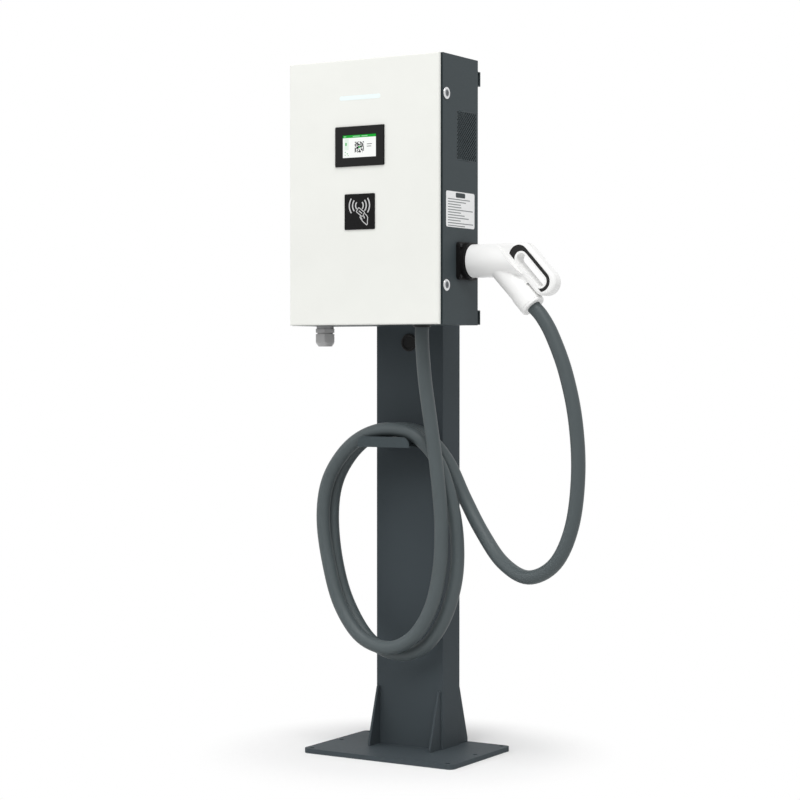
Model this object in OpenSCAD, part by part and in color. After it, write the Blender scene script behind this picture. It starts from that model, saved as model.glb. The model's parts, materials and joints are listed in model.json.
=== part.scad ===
// Charging post for electric cars: a wall cabinet carried on a floor-bolted column,
// with a hinged door, a cable hook, a holster and a hand-held connector on its cable.
// Millimetres. X runs to the right along the front, Y to the back and Z up.
// The origin is the middle of the base plate's underside.

/* [Base and column] */
// Width of the base plate
base_w = 430; // [400:5:520]
// Depth of the base plate
base_d = 295; // [280:5:400]
// Thickness of the base plate
base_t = 12; // [8:1:20]
// Corner radius of the base plate
base_r = 15; // [5:1:25]
// Diameter of an anchor hole
anchor_d = 12; // [10:1:16]
// Distance of the anchor holes from the side edges
anchor_in_x = 20; // [14:1:40]
// Distance of the end anchor holes from the front and back edges
anchor_in_y = 13; // [12:1:30]
// Diameter of the ground cable's hole in the base plate, under the column
entry_d = 60; // [40:1:72]
// Width of the column
post_w = 193; // [170:1:220]
// Depth of the column
post_d = 86; // [60:2:100]
// Sheet thickness of the column
post_wall = 3; // [2:0.5:4]
// Outer corner radius of the column
post_r = 2.5; // [2:0.5:10]
// Distance of the column's front behind the middle of the base
post_front = 10.5; // [0:0.5:30]
// Distance of the column's top below the cabinet's top
post_drop = 13; // [5:1:40]
// Reach of a gusset along the base
gusset_reach = 49; // [30:1:60]
// Height of a gusset
gusset_h = 145; // [80:5:250]
// Thickness of a gusset plate
gusset_t = 6; // [4:1:10]
// Distance of the grommet's middle below the cabinet's underside
grommet_down = 40.5; // [36:0.5:200]
// Outer diameter of the grommet
grommet_d = 44; // [36:1:60]

/* [Cable hook] */
// Height of the hook's floor
hook_z = 768; // [700:1:820]
// Width of the hook
hook_w = 148; // [130:1:170]
// Reach of the hook in front of the column
hook_reach = 125; // [110:1:160]
// Sheet thickness of the hook
hook_t = 3; // [2:0.5:4]
// Height of the lip above the hook's floor
hook_lip = 23; // [15:1:40]
// Radius of the lip's upper corners
hook_lip_r = 20; // [5:1:22]
// Height of the flange that is bolted to the column
hook_flange = 34; // [28:1:60]

/* [Cabinet] */
// Width of the cabinet
cab_w = 430; // [420:2:500]
// Depth of the cabinet with its door
cab_d = 183; // [175:1:235]
// Height of the cabinet
cab_h = 640; // [620:5:760]
// Height of the cabinet's underside above the floor
cab_z = 1062.5; // [950:0.5:1150]
// Sheet thickness of the casing
sheet = 2; // [1.5:0.25:2.5]
// Depth of the mounting rails on the cabinet's back
rail_d = 14.5; // [10:0.5:25]
// Height of a mounting rail
rail_h = 35; // [30:1:50]
// Sheet thickness of the rails and brackets
rail_t = 2.5; // [2:0.5:4]
// Depth of the brackets on the column
bracket_d = 20; // [16:1:40]
// Length of the brackets on the column
bracket_l = 186; // [150:2:200]
// Width of a vent
vent_w = 95; // [80:1:100]
// Height of a vent
vent_h = 120; // [105:1:124]
// Diameter of a vent hole
vent_hole = 5.5; // [3:0.5:6]
// Spacing of the vent holes along a row
vent_pitch = 9.4; // [9:0.2:14]

/* [Door] */
// Gap between the casing's front and the door's hinged edge as it swings
door_gap = 0.5; // [0.3:0.1:3]
// Distance of the door's side edges inside the casing's outer sides
door_inset = 3; // [1:0.5:5]
// Sheet thickness of the door
door_t = 1.5; // [1:0.25:2]
// Radius of the door's folded edges
door_fold = 4; // [3:0.5:5]
// Depth of the door's folded edges
door_return = 9.5; // [8:0.5:10.5]
// Distance of the hinge axis from the door's left edge
hinge_in = 8; // [7.5:0.25:8.5]
// Distance of the hinge axis behind the door's front
hinge_back = 6; // [5.75:0.25:6.5]
// Diameter of a hinge pin
hinge_pin_d = 4; // [3:0.5:5]
// Height of the door's rubber seal
seal_h = 12; // [10:0.5:12]
// Width of the door's rubber seal
seal_w = 10; // [6:0.5:11]
// Distance of the locks behind the cabinet's front
lock_back = 30.5; // [28:0.5:40]
// Diameter of a lock's head
lock_head_d = 29; // [22:1:34]
// Length of a lock's tongue
lock_tongue = 24; // [20:0.5:26]

/* [Front panel] */
// Sideways place of the display, reader and light, from the middle
panel_x = -7; // [-20:1:20]
// Height of the light bar's middle above the cabinet's underside
light_up = 547; // [530:1:580]
// Length of the light bar
light_l = 116; // [80:2:160]
// Height of the light bar
light_h = 10.5; // [6:0.5:16]
// Width of the display's bezel
bezel_w = 139.5; // [135:0.5:160]
// Height of the display's bezel
bezel_h = 96.5; // [94:0.5:110]
// How far the bezel stands out of the door
bezel_out = 4; // [3:0.5:8]
// Height of the display's middle above the cabinet's underside
display_up = 430; // [410:1:450]
// Width of the picture area
screen_w = 95; // [80:0.5:100]
// Height of the picture area
screen_h = 54; // [45:0.5:60]
// Width and height of the card reader's plate
reader_w = 86; // [80:1:100]
// How far the reader's plate stands out of the door
reader_out = 2.5; // [1.5:0.5:5]
// Height of the reader's middle above the cabinet's underside
reader_up = 272.5; // [250:0.5:290]

/* [Connector and cable] */
// Distance of the holster's middle in front of the cabinet's back
holster_fwd = 61; // [55:1:80]
// Height of the holster's middle above the cabinet's underside
holster_up = 152.5; // [120:0.5:170]
// Width and height of the holster's flange
holster_w = 90; // [86:1:100]
// Thickness of the holster's flange
holster_t = 8; // [5:1:12]
// Length of the holster's collar in front of its flange
collar_l = 11; // [8:1:16]
// Diameter of the connector's barrel
barrel_d = 80; // [70:1:82]
// Diameter of the connector's nose
nose_d = 58; // [50:1:60]
// Length of the connector's nose
nose_l = 46; // [35:1:50]
// Slope of the connector's handle below the level
grip_slope = 47.5; // [45:0.5:50]
// Thickness of the connector's handle
grip_t = 37; // [32:1:44]
// Diameter of the charging cable
cable_d = 34; // [28:0.5:36]
// Number of sides of the cable's tube
cable_sides = 10; // [8:1:12]

/* [Hidden] */
$fn = 48;
// Running clearance on radius, and the loose fit of a piece set into another
run_fit = 0.05;
loose_fit = 0.3;
// Overlap that keeps a cut clear of the face it starts from
cut = 1;

// Levels and planes of the cabinet
cab_back = post_front - bracket_d - rail_d;
cab_front = cab_back - cab_d;
cab_top = cab_z + cab_h;
cab_side = cab_w / 2;
in_side = cab_side - sheet;
in_back = cab_back - sheet;
in_low = cab_z + sheet;
in_high = cab_top - sheet;
post_top = cab_top - post_drop;
post_mid_y = post_front + post_d / 2;
grommet_z = cab_z - grommet_down;

// Bolts of one kind fasten the brackets and the hook to the column
bolt_d = 8;
bolt_af = 13;
bolt_head = 5.3;
bolt_tail = 6;
rail_up = 1.5;
rail_down = 26;
rail_low_z = cab_z + rail_up;
rail_high_z = cab_top - rail_h - rail_down;
bracket_bolt_x = 60;
hook_bolt_x = 40;
hook_bolt_up = 20;
hook_bolt_z = hook_z + hook_bolt_up;
rail_short = 1;
rail_l = cab_w - 2 * rail_short;

// Small sizes of the column's pieces
grommet_flange = 4;
grommet_neck_d = grommet_d - 2 * grommet_flange;
grommet_bead = 2.5;
grommet_bead_t = 3;
grommet_rim_h = 4.5;
grommet_rim_w = 5;
grommet_dish = 1.5;
gusset_toe = 10;
gusset_flat = 8;
gusset_in = 5;
// A tight bend keeps a little radius inside
post_bend_r = 0.5;
post_inner_r = max(post_r - post_wall, post_bend_r);
cap_t = 3;
cap_plug = 12;

// Door, hinge and rim
door_w = cab_w - 2 * door_inset;
door_trim = 0.5;
door_h = cab_h - 2 * door_trim;
door_mid_z = cab_z + cab_h / 2;
door_left = -door_w / 2;
door_in = cab_front + door_t;
hinge_x = door_left + hinge_in;
hinge_y = cab_front + hinge_back;
hinge_clear = 0.8;
// The casing's front edge stands just clear of the circle in which the door's hinged edge swings
door_swing = max(norm([hinge_in, door_return - hinge_back]),
                 norm([hinge_in - door_fold, hinge_back - door_fold]) + door_fold);
case_front = hinge_y + door_swing + door_gap;
hinge_r = hinge_back - door_t - hinge_clear;
hinge_end = 70;
hinge_z = [cab_z + hinge_end, cab_top - hinge_end];
hinge_mid_h = 20;
hinge_end_h = 12;
hinge_gap = 0.5;
hinge_arm_t = 4;
hinge_arm_in = 5;
hinge_foot = 19;
hinge_slot = 12;
hinge_room = 3;
pin_head_t = 1.5;
pin_head_in = 0.5;
rim_back = 17;
rim_front = cab_front + rim_back;
rim_t = 2;
rim_w = 34;
rim_lip_t = 2;
seal_gap = 0.3;
seal_in = rim_w + rim_lip_t / 2 - seal_w / 2;
leaf_t = 1.5;

// Locks
lock_y = cab_front + lock_back;
lock_up = 93.5;
lock_down = 94.5;
lock_z = [cab_z + lock_up, cab_top - lock_down];
lock_head_t = 3;
lock_barrel_r = 7;
lock_nut_af = 17;
lock_plug_r = 8;
lock_plug_t = 2;
lock_shaft_r = 4;
lock_cam_t = 3;
lock_barrel_l = 21;
lock_nut_t = 5;
lock_collar_t = 2.5;
lock_collar_w = 2;
lock_bevel = 1;
key_slot_w = 2;
key_slot_l = 10;
key_slot_t = 1.5;
lock_cam_in = 25.5;
lock_cam_x = in_side - lock_cam_in;
lock_cam_hub = 9;
lock_cam_w = 12;
keeper_w = 10;
keeper_mid_x = lock_cam_x + lock_cam_t / 2;
keeper_gap = 4;
keeper_t = 5;
keeper_hook_t = 4;
keeper_clear = 3;
keeper_hook_top = lock_cam_hub + keeper_clear;
keeper_web_z = lock_tongue + keeper_gap;
keeper_hook_y = lock_y + lock_cam_w / 2 + keeper_clear;
keeper_foot = 8;
keeper_foot_t = 2;
rim_slot_side = 2.5;
rim_slot_end = 4;

// Front panel
display_z = cab_z + display_up;
reader_z = cab_z + reader_up;
light_z = cab_z + light_up;
bezel_wall = 3;
bezel_r = 2;
bezel_side_x = 16.5;
bezel_side_z = 15.5;
bezel_body_w = screen_w + 2 * bezel_side_x;
bezel_body_h = screen_h + 2 * bezel_side_z;
bezel_body_d = 20;
glass_side_x = 8.5;
glass_side_z = 8;
glass_w = screen_w + 2 * glass_side_x;
glass_h = screen_h + 2 * glass_side_z;
glass_t = 4;
bezel_face_t = 2;
board_t = 1.6;
board_post = 8;
board_post_d = 6;
chip_t = 3;
reader_edge = 13;
reader_box = reader_w - 2 * reader_edge;
reader_box_d = 12;
reader_wall = 2;
reader_r = 3;
reader_post = 5;
light_flange = 5;
light_flange_t = 2;
light_out = 0.8;

// Vents and fan
vent_fwd = 54.5;
vent_up = 452;
vent_y = cab_back - vent_fwd;
vent_z = cab_z + vent_up;
vent_edge = 5;
vent_stagger = 0.485;
vent_flange_t = 1.5;
fan_w = 92;
fan_t = 25;
fan_bore_r = 43.5;
fan_tip_r = 42;
fan_hub_r = 18;
fan_motor_r = 15;
fan_spoke_t = 3;
fan_blades = 7;
fan_axle_r = 3;
fan_motor_t = 6;
fan_gap = 1;
fan_r = 6;
spoke_w = 4;
blade_t = 2;
blade_tilt = 40;
blade_l = 30;
fan_out = in_side - vent_flange_t;

// Holster and connector
gun_y = cab_back - holster_fwd;
gun_z = cab_z + holster_up;
holster_face = cab_side + holster_t;
collar_wall = 4;
socket_gap = 0.5;
collar_r = barrel_d / 2 + collar_wall;
socket_r = nose_d / 2 + socket_gap;
socket_wall = 4;
mouth_gap = 1;
mouth_x = holster_face + collar_l + mouth_gap;
holster_screw_in = 8.5;
holster_screw_d = 5;
screw_head_d = 9;
screw_head_t = 2.5;
screw_tail = 6;
holster_r = 10;
cup_room = 6;
grip_reach = 164;
grip_drop = 27;
grip_x = mouth_x + grip_reach;
grip_z = gun_z - grip_drop;
grip_off = 7;
grip_half = 31.5;
grip_low = 44;
grip_edge = 8;
// The handle's upper end is as high as the barrel's top
head_z = gun_z + barrel_d / 2 - grip_half;
grip_high = (grip_z + grip_off * cos(grip_slope) - head_z) / sin(grip_slope);
barrel_cut = -19;
head_cut = -22;
slot_off = 3;
slot_half = 12.5;
slot_low = 37;
slot_high = -37;
liner_rim = 5;
liner_t = 8;
sleeve_off = -56;
sleeve_r1 = 30;
sleeve_r2 = 29;
sleeve_start = -88;
sleeve_end = 19;
nut_r = 30.5;
nut_l = 44;
nut_end = sleeve_end + nut_l;
button_r = 8;
button_travel = 3;
button_angle = 62;
button_low = 23;
button_h = 4;
liner_top = 9.5;
liner_from = 15;
liner_out = 0.5;
liner_deep = 4;
nose_root = 20;
nose_recess = 16;
nose_wall = 4;
nose_bevel = 3;
mouth_bevel = 2.5;
nut_groove = 1;
nut_neck = 1.5;
nut_lip = 6;
nut_bevel = 2;
web_in = 4;
head_extra = 1;
button_deep = 20;
button_bevel = 1.5;
contact_wall = 3.5;
power_pin_r = 5;
power_pin_low = 2;
power_pin_side = 12.5;
signal_pin_r = 2.5;
signal_up = 12;
signal_low = 16;
signal_corner_up = 10;
signal_corner_side = 16;

// What the cabinet holds
plate_gap = 4;
plate_t = 2;
plate_y = in_back - plate_gap - plate_t;
plate_w = 360;
plate_in = 25;
standoff_d = 14;
module_w = 300;
module_d = 100;
module_h = 105;
fin_count = 13;
fin_step = 8;
fin_h = 14;
fin_t = 2;
din_up = 270;
din_z = cab_z + din_up;
din_end = 15;
din_l = plate_w - 2 * din_end;
din_w = 35;
din_d = 7.5;
din_t = 1;
din_web = 25;
din_front = plate_y - din_d;
device_d = 45;
device_h = 86;
nose_h = 46;
terminal_d = 9;
terminal_up = 33;
terminal_deep = 6;
device_gap = 8;
device_in = 20;
breaker_x = device_in - plate_w / 2;
breaker_w = 72;
breaker_nose = 60;
lever_in = 4;
lever_y = din_front - breaker_nose + lever_in;
lever_slot = 28;
lever_tab_t = 6;
lever_pin_l = 6;
lever_side = 1;
lever_w = 40;
lever_hub_r = 7;
lever_pin_r = 2.5;
lever_l = 18;
lever_tilt = 30;
contactor_x = breaker_x + breaker_w + device_gap;
contactor_w = 56;
contactor_nose = 78;
contactor_in = 8;
meter_x = contactor_x + contactor_w + device_gap;
meter_w = 72;
meter_nose = 62;
meter_edge = 12;
meter_window = 20;
meter_deep = 1.5;
supply_x = meter_x + meter_w + device_gap;
supply_w = 60;
supply_d = 88;
supply_h = 100;
slit_count = 8;
slit_step = 8;
slit_h = 4;
slit_in = 8;
slit_deep = 2;
board_w = 180;
board_h = 110;
board_in = 130;
board_up = 90;
board_x = board_in - plate_w / 2;
board_z = cab_z + board_up;
board_lift = 12;
standoff_in = 6;
board_post_w = 8;
// What stands on the control board: left and lower place, width, height and depth
board_parts = [
    [12, 8, 20, 12, 14], [38, 8, 20, 12, 14], [64, 8, 20, 12, 14], [90, 8, 20, 12, 14],
    [116, 8, 20, 12, 14], [142, 8, 20, 12, 14], [20, 45, 40, 40, 4], [85, 40, 40, 30, 20]
];
capacitor_d = 13;
capacitor_h = 22;
capacitor_step = 18;
capacitor_x = 90;
capacitor_z = 92;
terminal_x = din_end - plate_w / 2;
terminal_step = 16;
terminal_high = 110;
terminal_z = cab_z + terminal_high;
terminal_h = 44;
terminal_base = 34;
terminal_nose = 44;
terminal_neck = 28;
terminal_tip = 16;

// Glands in the cabinet's floor
gland_in = 50;
gland_back = 87;
gland_x = gland_in - cab_side;
gland_y = cab_front + gland_back;
gland_neck_r = 19.5;
gland_bore_r = 13;
gland_seal_r = 11;
gland_af = 45;
gland_neck_h = 7;
gland_ring_h = 9.5;
gland_gap_h = 3;
gland_cap_h = 31;
gland_thread_h = 14;
gland_shoulder = 2;
gland_nut_t = 7;
gland_nut_more = 3;
gland_nut_af = gland_af + gland_nut_more;
gland_seal_gap = 4;
gland_dome = 6;
gland_round = 3;
bush_in = 103;
bush_back = 92;
bush_x = cab_side - bush_in;
bush_y = cab_front + bush_back;
bush_t = 5;
bush_flange = 6;
bush_wall = 3;
bush_r = cable_d / 2 + bush_flange;
bush_neck_r = cable_d / 2 + bush_wall;
gland_cap_low = cab_z - gland_neck_h - gland_ring_h - gland_gap_h - gland_cap_h;
gland_lip = 5;
gland_hold = 1;
bush_taper = 3;

// The cable's way, from the bush, twice round the hook and up to the connector
cable_r = cable_d / 2;
cable_seat = 0.05;
nut_face = grip_point(nut_end + cable_seat, sleeve_off);
nut_lead = grip_point(nut_end + cable_d, sleeve_off);
bush_face = [bush_x, bush_y, cab_z - bush_t];
bush_lead = bush_face - [0, 0, cable_d];
route = [
    bush_face, bush_lead, [119, -113, 930], [132, -109, 830],
    [146, -104, 720], [155, -100, 620], [156, -98, 550], [149, -95, 470],
    [125, -93, 380], [76, -91, 306], [5, -90, 271], [-78, -90, 292],
    [-140, -90, 368], [-174, -90, 470], [-191, -90, 580], [-178, -90, 672],
    [-132, -90, 745], [-70, -90, 791], [5, -90, 809], [76, -84, 792],
    [128, -68, 732], [160, -57, 635], [174, -52, 535], [167, -50, 435],
    [132, -50, 338], [75, -50, 271], [0, -50, 251], [-80, -50, 283],
    [-144, -50, 372], [-178, -50, 475], [-190, -50, 585], [-176, -50, 674],
    [-130, -50, 746], [-70, -48, 791], [5, -42, 808], [72, -33, 793],
    [128, -20, 731], [174, -14, 640], [228, -24, 560], [298, -48, 492],
    [380, -72, 463], [457, -84, 500], [502, -86, 590], [518, -86, 715],
    [510, -86, 840], [484, -85, 950], [450, -85, 1034], nut_lead, nut_face
];
// The loops start where the cable has come down past the hook, and end as it leaves the hook again
loops_first = 6;
loops_last = 35;
route_last = len(route) - 1;
rings = 2;
cable = [for (i = [0 : rings * route_last]) route_point(i / rings)];
near_rings = 6;

// A point of the connector's mid-plane, along the handle's slope and square to it
function grip_point(along, off) = [
    grip_x + along * cos(grip_slope) + off * sin(grip_slope),
    gun_y,
    grip_z - along * sin(grip_slope) + off * cos(grip_slope)
];

// Smooth curve through the route's points, and its direction
function route_at(i) = i < 0 ? 2 * route[0] - route[1]
    : i > route_last ? 2 * route[route_last] - route[route_last - 1]
    : route[i];
function route_seg(s) = min(floor(s), route_last - 1);
function curve(a, b, c, d, t) = 0.5 * (2 * b + (c - a) * t + (2 * a - 5 * b + 4 * c - d) * t * t
    + (3 * b - a - 3 * c + d) * t * t * t);
function slope(a, b, c, d, t) = 0.5 * ((c - a) + 2 * (2 * a - 5 * b + 4 * c - d) * t
    + 3 * (3 * b - a - 3 * c + d) * t * t);
function route_point(s) = let (i = route_seg(s))
    curve(route_at(i - 1), route_at(i), route_at(i + 1), route_at(i + 2), s - i);
function route_slope(s) = let (i = route_seg(s))
    unit(slope(route_at(i - 1), route_at(i), route_at(i + 1), route_at(i + 2), s - i));
function unit(v) = v / norm(v);
function ring_at(s) = let (t = route_slope(s), n = unit(cross(t, [0, 1, 0])), m = cross(t, n))
    [for (k = [0 : cable_sides - 1])
        route_point(s) + cable_r * (cos(360 * k / cable_sides) * n + sin(360 * k / cable_sides) * m)];

// Length of the cable, and the least gap between stretches of it that are not neighbours
cable_length = sum_steps(cable, 0);
cable_gap = min([for (i = [0 : len(cable) - 1]) for (j = [i + near_rings : 1 : len(cable) - 1])
    gap_to_piece(cable[i], cable[j], cable[min(j + 1, len(cable) - 1)])]) - cable_d;
function sum_steps(p, i) = i >= len(p) - 1 ? 0 : norm(p[i + 1] - p[i]) + sum_steps(p, i + 1);
function gap_to_piece(p, a, b) = let (d = b - a, n = max(d * d, 0.001), t = (p - a) * d / n)
    norm(p - a - d * min(max(t, 0), 1));
echo(cable_length = cable_length, cable_gap = cable_gap);

// Shared shapes
module rounded_rect(w, d, r) {
    square([w - 2 * r, d], center = true);
    square([w, d - 2 * r], center = true);
    for (x = [-1, 1], y = [-1, 1])
        translate([x * (w / 2 - r), y * (d / 2 - r)]) circle(r);
}

module pill(l, h) {
    square([l - h, h], center = true);
    for (x = [-1, 1])
        translate([x * (l - h) / 2, 0]) circle(h / 2);
}

// Turns a shape drawn on the floor to face the front, standing out towards -Y
module facing_front() {
    rotate([90, 0, 0]) children();
}

// Turns a shape's Z to +X
module along_x() {
    rotate([0, 90, 0]) children();
}

// Draws a flat outline in the Y-Z plane and gives it a length along X
module profile_x(l) {
    rotate([90, 0, 90]) linear_extrude(l) children();
}

// A flat box of a width along X, a depth along Y and a height along Z, from its low corner
module block(low, high) {
    translate(low) cube(high - low);
}

module hex(af, h) {
    cylinder(d = af / cos(30), h = h, $fn = 6);
}

// A slab with round ends and rounded edges, from one end's middle to the other along X
module round_slab(a, b, half, thick, edge) {
    translate([a, 0, 0]) round_disc(half, thick, edge);
    translate([b, 0, 0]) round_disc(half, thick, edge);
    translate([a, 0, 0]) profile_x(b - a) rounded_rect(thick, 2 * half, edge);
}

module round_disc(half, thick, edge) {
    rotate([90, 0, 0]) rotate_extrude() {
        translate([0, -thick / 2]) square([half - edge, thick]);
        translate([0, edge - thick / 2]) square([half, thick - 2 * edge]);
        for (h = [-1, 1])
            translate([half - edge, h * (thick / 2 - edge)]) circle(edge);
    }
}

// A plain slab with round ends, through the connector's thickness
module plain_slab(a, b, half, thick) {
    for (x = [a, b])
        translate([x, thick / 2, 0]) facing_front() cylinder(r = half, h = thick);
    block([a, -thick / 2, -half], [b, thick / 2, half]);
}

module in_grip() {
    translate([grip_x, gun_y, grip_z]) rotate([0, grip_slope, 0]) children();
}

// Tube of the cable between two places on its route
module cable_tube(first, last) {
    count = rings * (last - first);
    rows = [for (i = [0 : count]) ring_at(first + i / rings)];
    n = cable_sides;
    points = concat([for (row = rows) each row], [route_point(first), route_point(last)]);
    sides = [for (i = [0 : count - 1], k = [0 : n - 1])
        each [[i * n + k, i * n + (k + 1) % n, (i + 1) * n + k],
              [i * n + (k + 1) % n, (i + 1) * n + (k + 1) % n, (i + 1) * n + k]]];
    low_cap = [for (k = [0 : n - 1]) [(count + 1) * n, (k + 1) % n, k]];
    high_cap = [for (k = [0 : n - 1]) [(count + 1) * n + 1, count * n + k, count * n + (k + 1) % n]];
    polyhedron(points, concat(sides, low_cap, high_cap));
}

// Colours of the finishes
dark_paint = "#454b4d";
column_paint = "#3c4244";
white_paint = "#eff0eb";
black_plastic = "#1c1c1c";
rubber = "#202020";
zinc = "#a9adb0";
chrome = "#c8cacc";
blacked_steel = "#1a1b1c";
grey_plastic = "#8f8f8f";
green_board = "#2c6a45";

// Base plate, column and what is welded or pressed on it
module base_plate() {
    color(column_paint) difference() {
        linear_extrude(base_t) rounded_rect(base_w, base_d, base_r);
        for (x = [-1, 1], y = [-1, 0, 1])
            translate([x * (base_w / 2 - anchor_in_x), y * (base_d / 2 - anchor_in_y), -cut])
                cylinder(d = anchor_d, h = base_t + 2 * cut);
        translate([0, post_mid_y, -cut]) cylinder(d = entry_d, h = base_t + 2 * cut);
    }
}

module post_column() {
    color(column_paint) difference() {
        translate([0, post_mid_y, base_t]) linear_extrude(post_top - base_t) difference() {
            rounded_rect(post_w, post_d, post_r);
            rounded_rect(post_w - 2 * post_wall, post_d - 2 * post_wall, post_inner_r);
        }
        translate([0, post_front + post_wall + cut, grommet_z])
            facing_front() cylinder(d = grommet_neck_d, h = post_wall + 2 * cut);
        post_bolt_places() cylinder(d = bolt_d, h = bolt_tail + cut);
    }
}

// The four bracket bolts and two hook bolts, each pointing into the column from its front
module post_bolt_places() {
    for (x = [-1, 1]) {
        for (z = [rail_low_z, rail_high_z])
            translate([x * bracket_bolt_x, post_front, z + rail_h / 2]) rotate([-90, 0, 0]) children();
        translate([x * hook_bolt_x, post_front, hook_bolt_z]) rotate([-90, 0, 0]) children();
    }
}

module post_gussets() {
    color(column_paint)
        for (x = [-1, 1]) {
            gusset(x, post_front, -1);
            gusset(x, post_front + post_d, 1);
        }
}

module gusset(side, from_y, way) {
    low_x = side > 0 ? post_w / 2 - gusset_in - gusset_t : gusset_in - post_w / 2;
    translate([low_x, from_y, base_t]) profile_x(gusset_t) polygon([
        [0, 0], [way * gusset_reach, 0], [way * gusset_reach, gusset_toe],
        [way * gusset_flat, gusset_h], [0, gusset_h]
    ]);
}

module post_cap() {
    color(black_plastic) translate([0, post_mid_y, post_top]) {
        linear_extrude(cap_t) rounded_rect(post_w, post_d, post_r);
        plug_w = post_w - 2 * post_wall - 2 * loose_fit;
        plug_d = post_d - 2 * post_wall - 2 * loose_fit;
        translate([0, 0, -cap_plug]) linear_extrude(cap_plug) difference() {
            rounded_rect(plug_w, plug_d, post_inner_r);
            square([plug_w - 2 * cap_t, plug_d - 2 * cap_t], center = true);
        }
    }
}

module post_grommet() {
    neck = grommet_neck_d / 2;
    rim = grommet_d / 2;
    back = -post_wall - grommet_bead_t;
    color(rubber) translate([0, post_front, grommet_z]) facing_front() rotate_extrude() polygon([
        [0, back], [neck + grommet_bead, back], [neck + grommet_bead, -post_wall],
        [neck, -post_wall], [neck, 0], [rim, 0], [rim, grommet_rim_h - grommet_dish],
        [rim - grommet_dish, grommet_rim_h], [rim - grommet_rim_w, grommet_rim_h],
        [rim - grommet_rim_w - grommet_dish, grommet_dish], [0, grommet_dish]
    ]);
}

module cable_hook() {
    lip_y = post_front - hook_reach;
    color(dark_paint) difference() {
        union() {
            block([-hook_w / 2, lip_y, hook_z - hook_t], [hook_w / 2, post_front, hook_z]);
            block([-hook_w / 2, post_front - hook_t, hook_z],
                  [hook_w / 2, post_front, hook_z + hook_flange]);
            translate([0, lip_y + hook_t, hook_z])
                facing_front() linear_extrude(hook_t) hook_lip_outline();
        }
        post_bolt_places() translate([0, 0, -hook_t - cut]) cylinder(d = bolt_d, h = hook_t + 2 * cut);
    }
}

module hook_lip_outline() {
    intersection() {
        translate([0, hook_lip - hook_w / 2]) rounded_rect(hook_w, hook_w, hook_lip_r);
        translate([-hook_w / 2, 0]) square([hook_w, hook_lip]);
    }
}

// Channels on the column, and the rails on the cabinet's back that they carry
module post_brackets() {
    color(zinc) difference() {
        for (z = [rail_low_z, rail_high_z])
            translate([-bracket_l / 2, post_front, z]) profile_x(bracket_l) channel(bracket_d);
        post_bolt_places() translate([0, 0, -rail_t - cut]) cylinder(d = bolt_d, h = rail_t + 2 * cut);
    }
}

module mounting_rails() {
    color(dark_paint)
        for (z = [rail_low_z, rail_high_z])
            translate([-rail_l / 2, cab_back + rail_d, z]) profile_x(rail_l) channel(rail_d);
}

// Channel outline: its web stands at the back and its two flanges reach forward
module channel(depth) {
    translate([-rail_t, 0]) square([rail_t, rail_h]);
    translate([-depth, 0]) square([depth, rail_t]);
    translate([-depth, rail_h - rail_t]) square([depth, rail_t]);
}

// Bolt heads lie on the brackets' webs and on the hook's flange
module frame_bolts() {
    color(zinc) {
        for (x = [-1, 1]) {
            for (z = [rail_low_z, rail_high_z])
                translate([x * bracket_bolt_x, post_front - rail_t, z + rail_h / 2]) bolt(rail_t);
            translate([x * hook_bolt_x, post_front - hook_t, hook_bolt_z]) bolt(hook_t);
        }
    }
}

module bolt(grip) {
    facing_front() hex(bolt_af, bolt_head);
    rotate([-90, 0, 0]) cylinder(d = bolt_d, h = grip + bolt_tail);
}

// Casing: a folded wrap with a welded back sheet, open at the front, with its rain rim and vents
module casing() {
    color(dark_paint) difference() {
        block([-cab_side, case_front, cab_z], [cab_side, cab_back, cab_top]);
        block([-in_side, case_front - cut, in_low], [in_side, cab_back + cut, in_high]);
        for (x = [-1, 1])
            translate([x * cab_side, vent_y, vent_z]) cube([4 * sheet, vent_w, vent_h], center = true);
        for (z = lock_z)
            translate([in_side - cut, lock_y, z])
                along_x() cylinder(r = lock_barrel_r, h = sheet + 2 * cut);
        translate([in_side - cut, gun_y, gun_z])
            along_x() cylinder(r = socket_r + socket_wall, h = sheet + 2 * cut);
        holster_screw_places() translate([0, 0, -holster_t - sheet - cut])
            cylinder(d = holster_screw_d, h = sheet + 2 * cut);
        translate([gland_x, gland_y, cab_z - cut]) cylinder(r = gland_neck_r, h = sheet + 2 * cut);
        translate([bush_x, bush_y, cab_z - cut]) cylinder(r = bush_neck_r, h = sheet + 2 * cut);
    }
}

module casing_back() {
    color(dark_paint) block([-in_side, in_back, in_low], [in_side, cab_back, in_high]);
}

module casing_rim() {
    lip_front = door_in + seal_h + seal_gap;
    lip_out = in_side - rim_w;
    color(dark_paint) difference() {
        union() {
            translate([0, rim_front + rim_t, door_mid_z])
                facing_front() linear_extrude(rim_t) ring_outline(rim_w + rim_lip_t, 0);
            translate([0, rim_front + rim_t, door_mid_z]) facing_front()
                linear_extrude(rim_front + rim_t - lip_front) ring_outline(rim_lip_t, rim_w);
        }
        for (z = lock_z)
            block([keeper_mid_x - keeper_w / 2 - rim_slot_side, rim_front - cut,
                   z - keeper_web_z - keeper_t - rim_slot_end],
                  [keeper_mid_x + keeper_w / 2 + rim_slot_side + rim_t, rim_front + rim_t + cut,
                   z + lock_cam_w / 2 + rim_slot_end]);
    }
}

// Rectangular ring of a given width, set in from the casing's inner walls
module ring_outline(width, inset) {
    w = 2 * (in_side - inset);
    h = in_high - in_low - 2 * inset;
    difference() {
        square([w, h], center = true);
        square([w - 2 * width, h - 2 * width], center = true);
    }
}

module vent_grille_right() {
    color(dark_paint) vent_grille();
}

module vent_grille_left() {
    color(dark_paint) mirror([1, 0, 0]) vent_grille();
}

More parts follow.
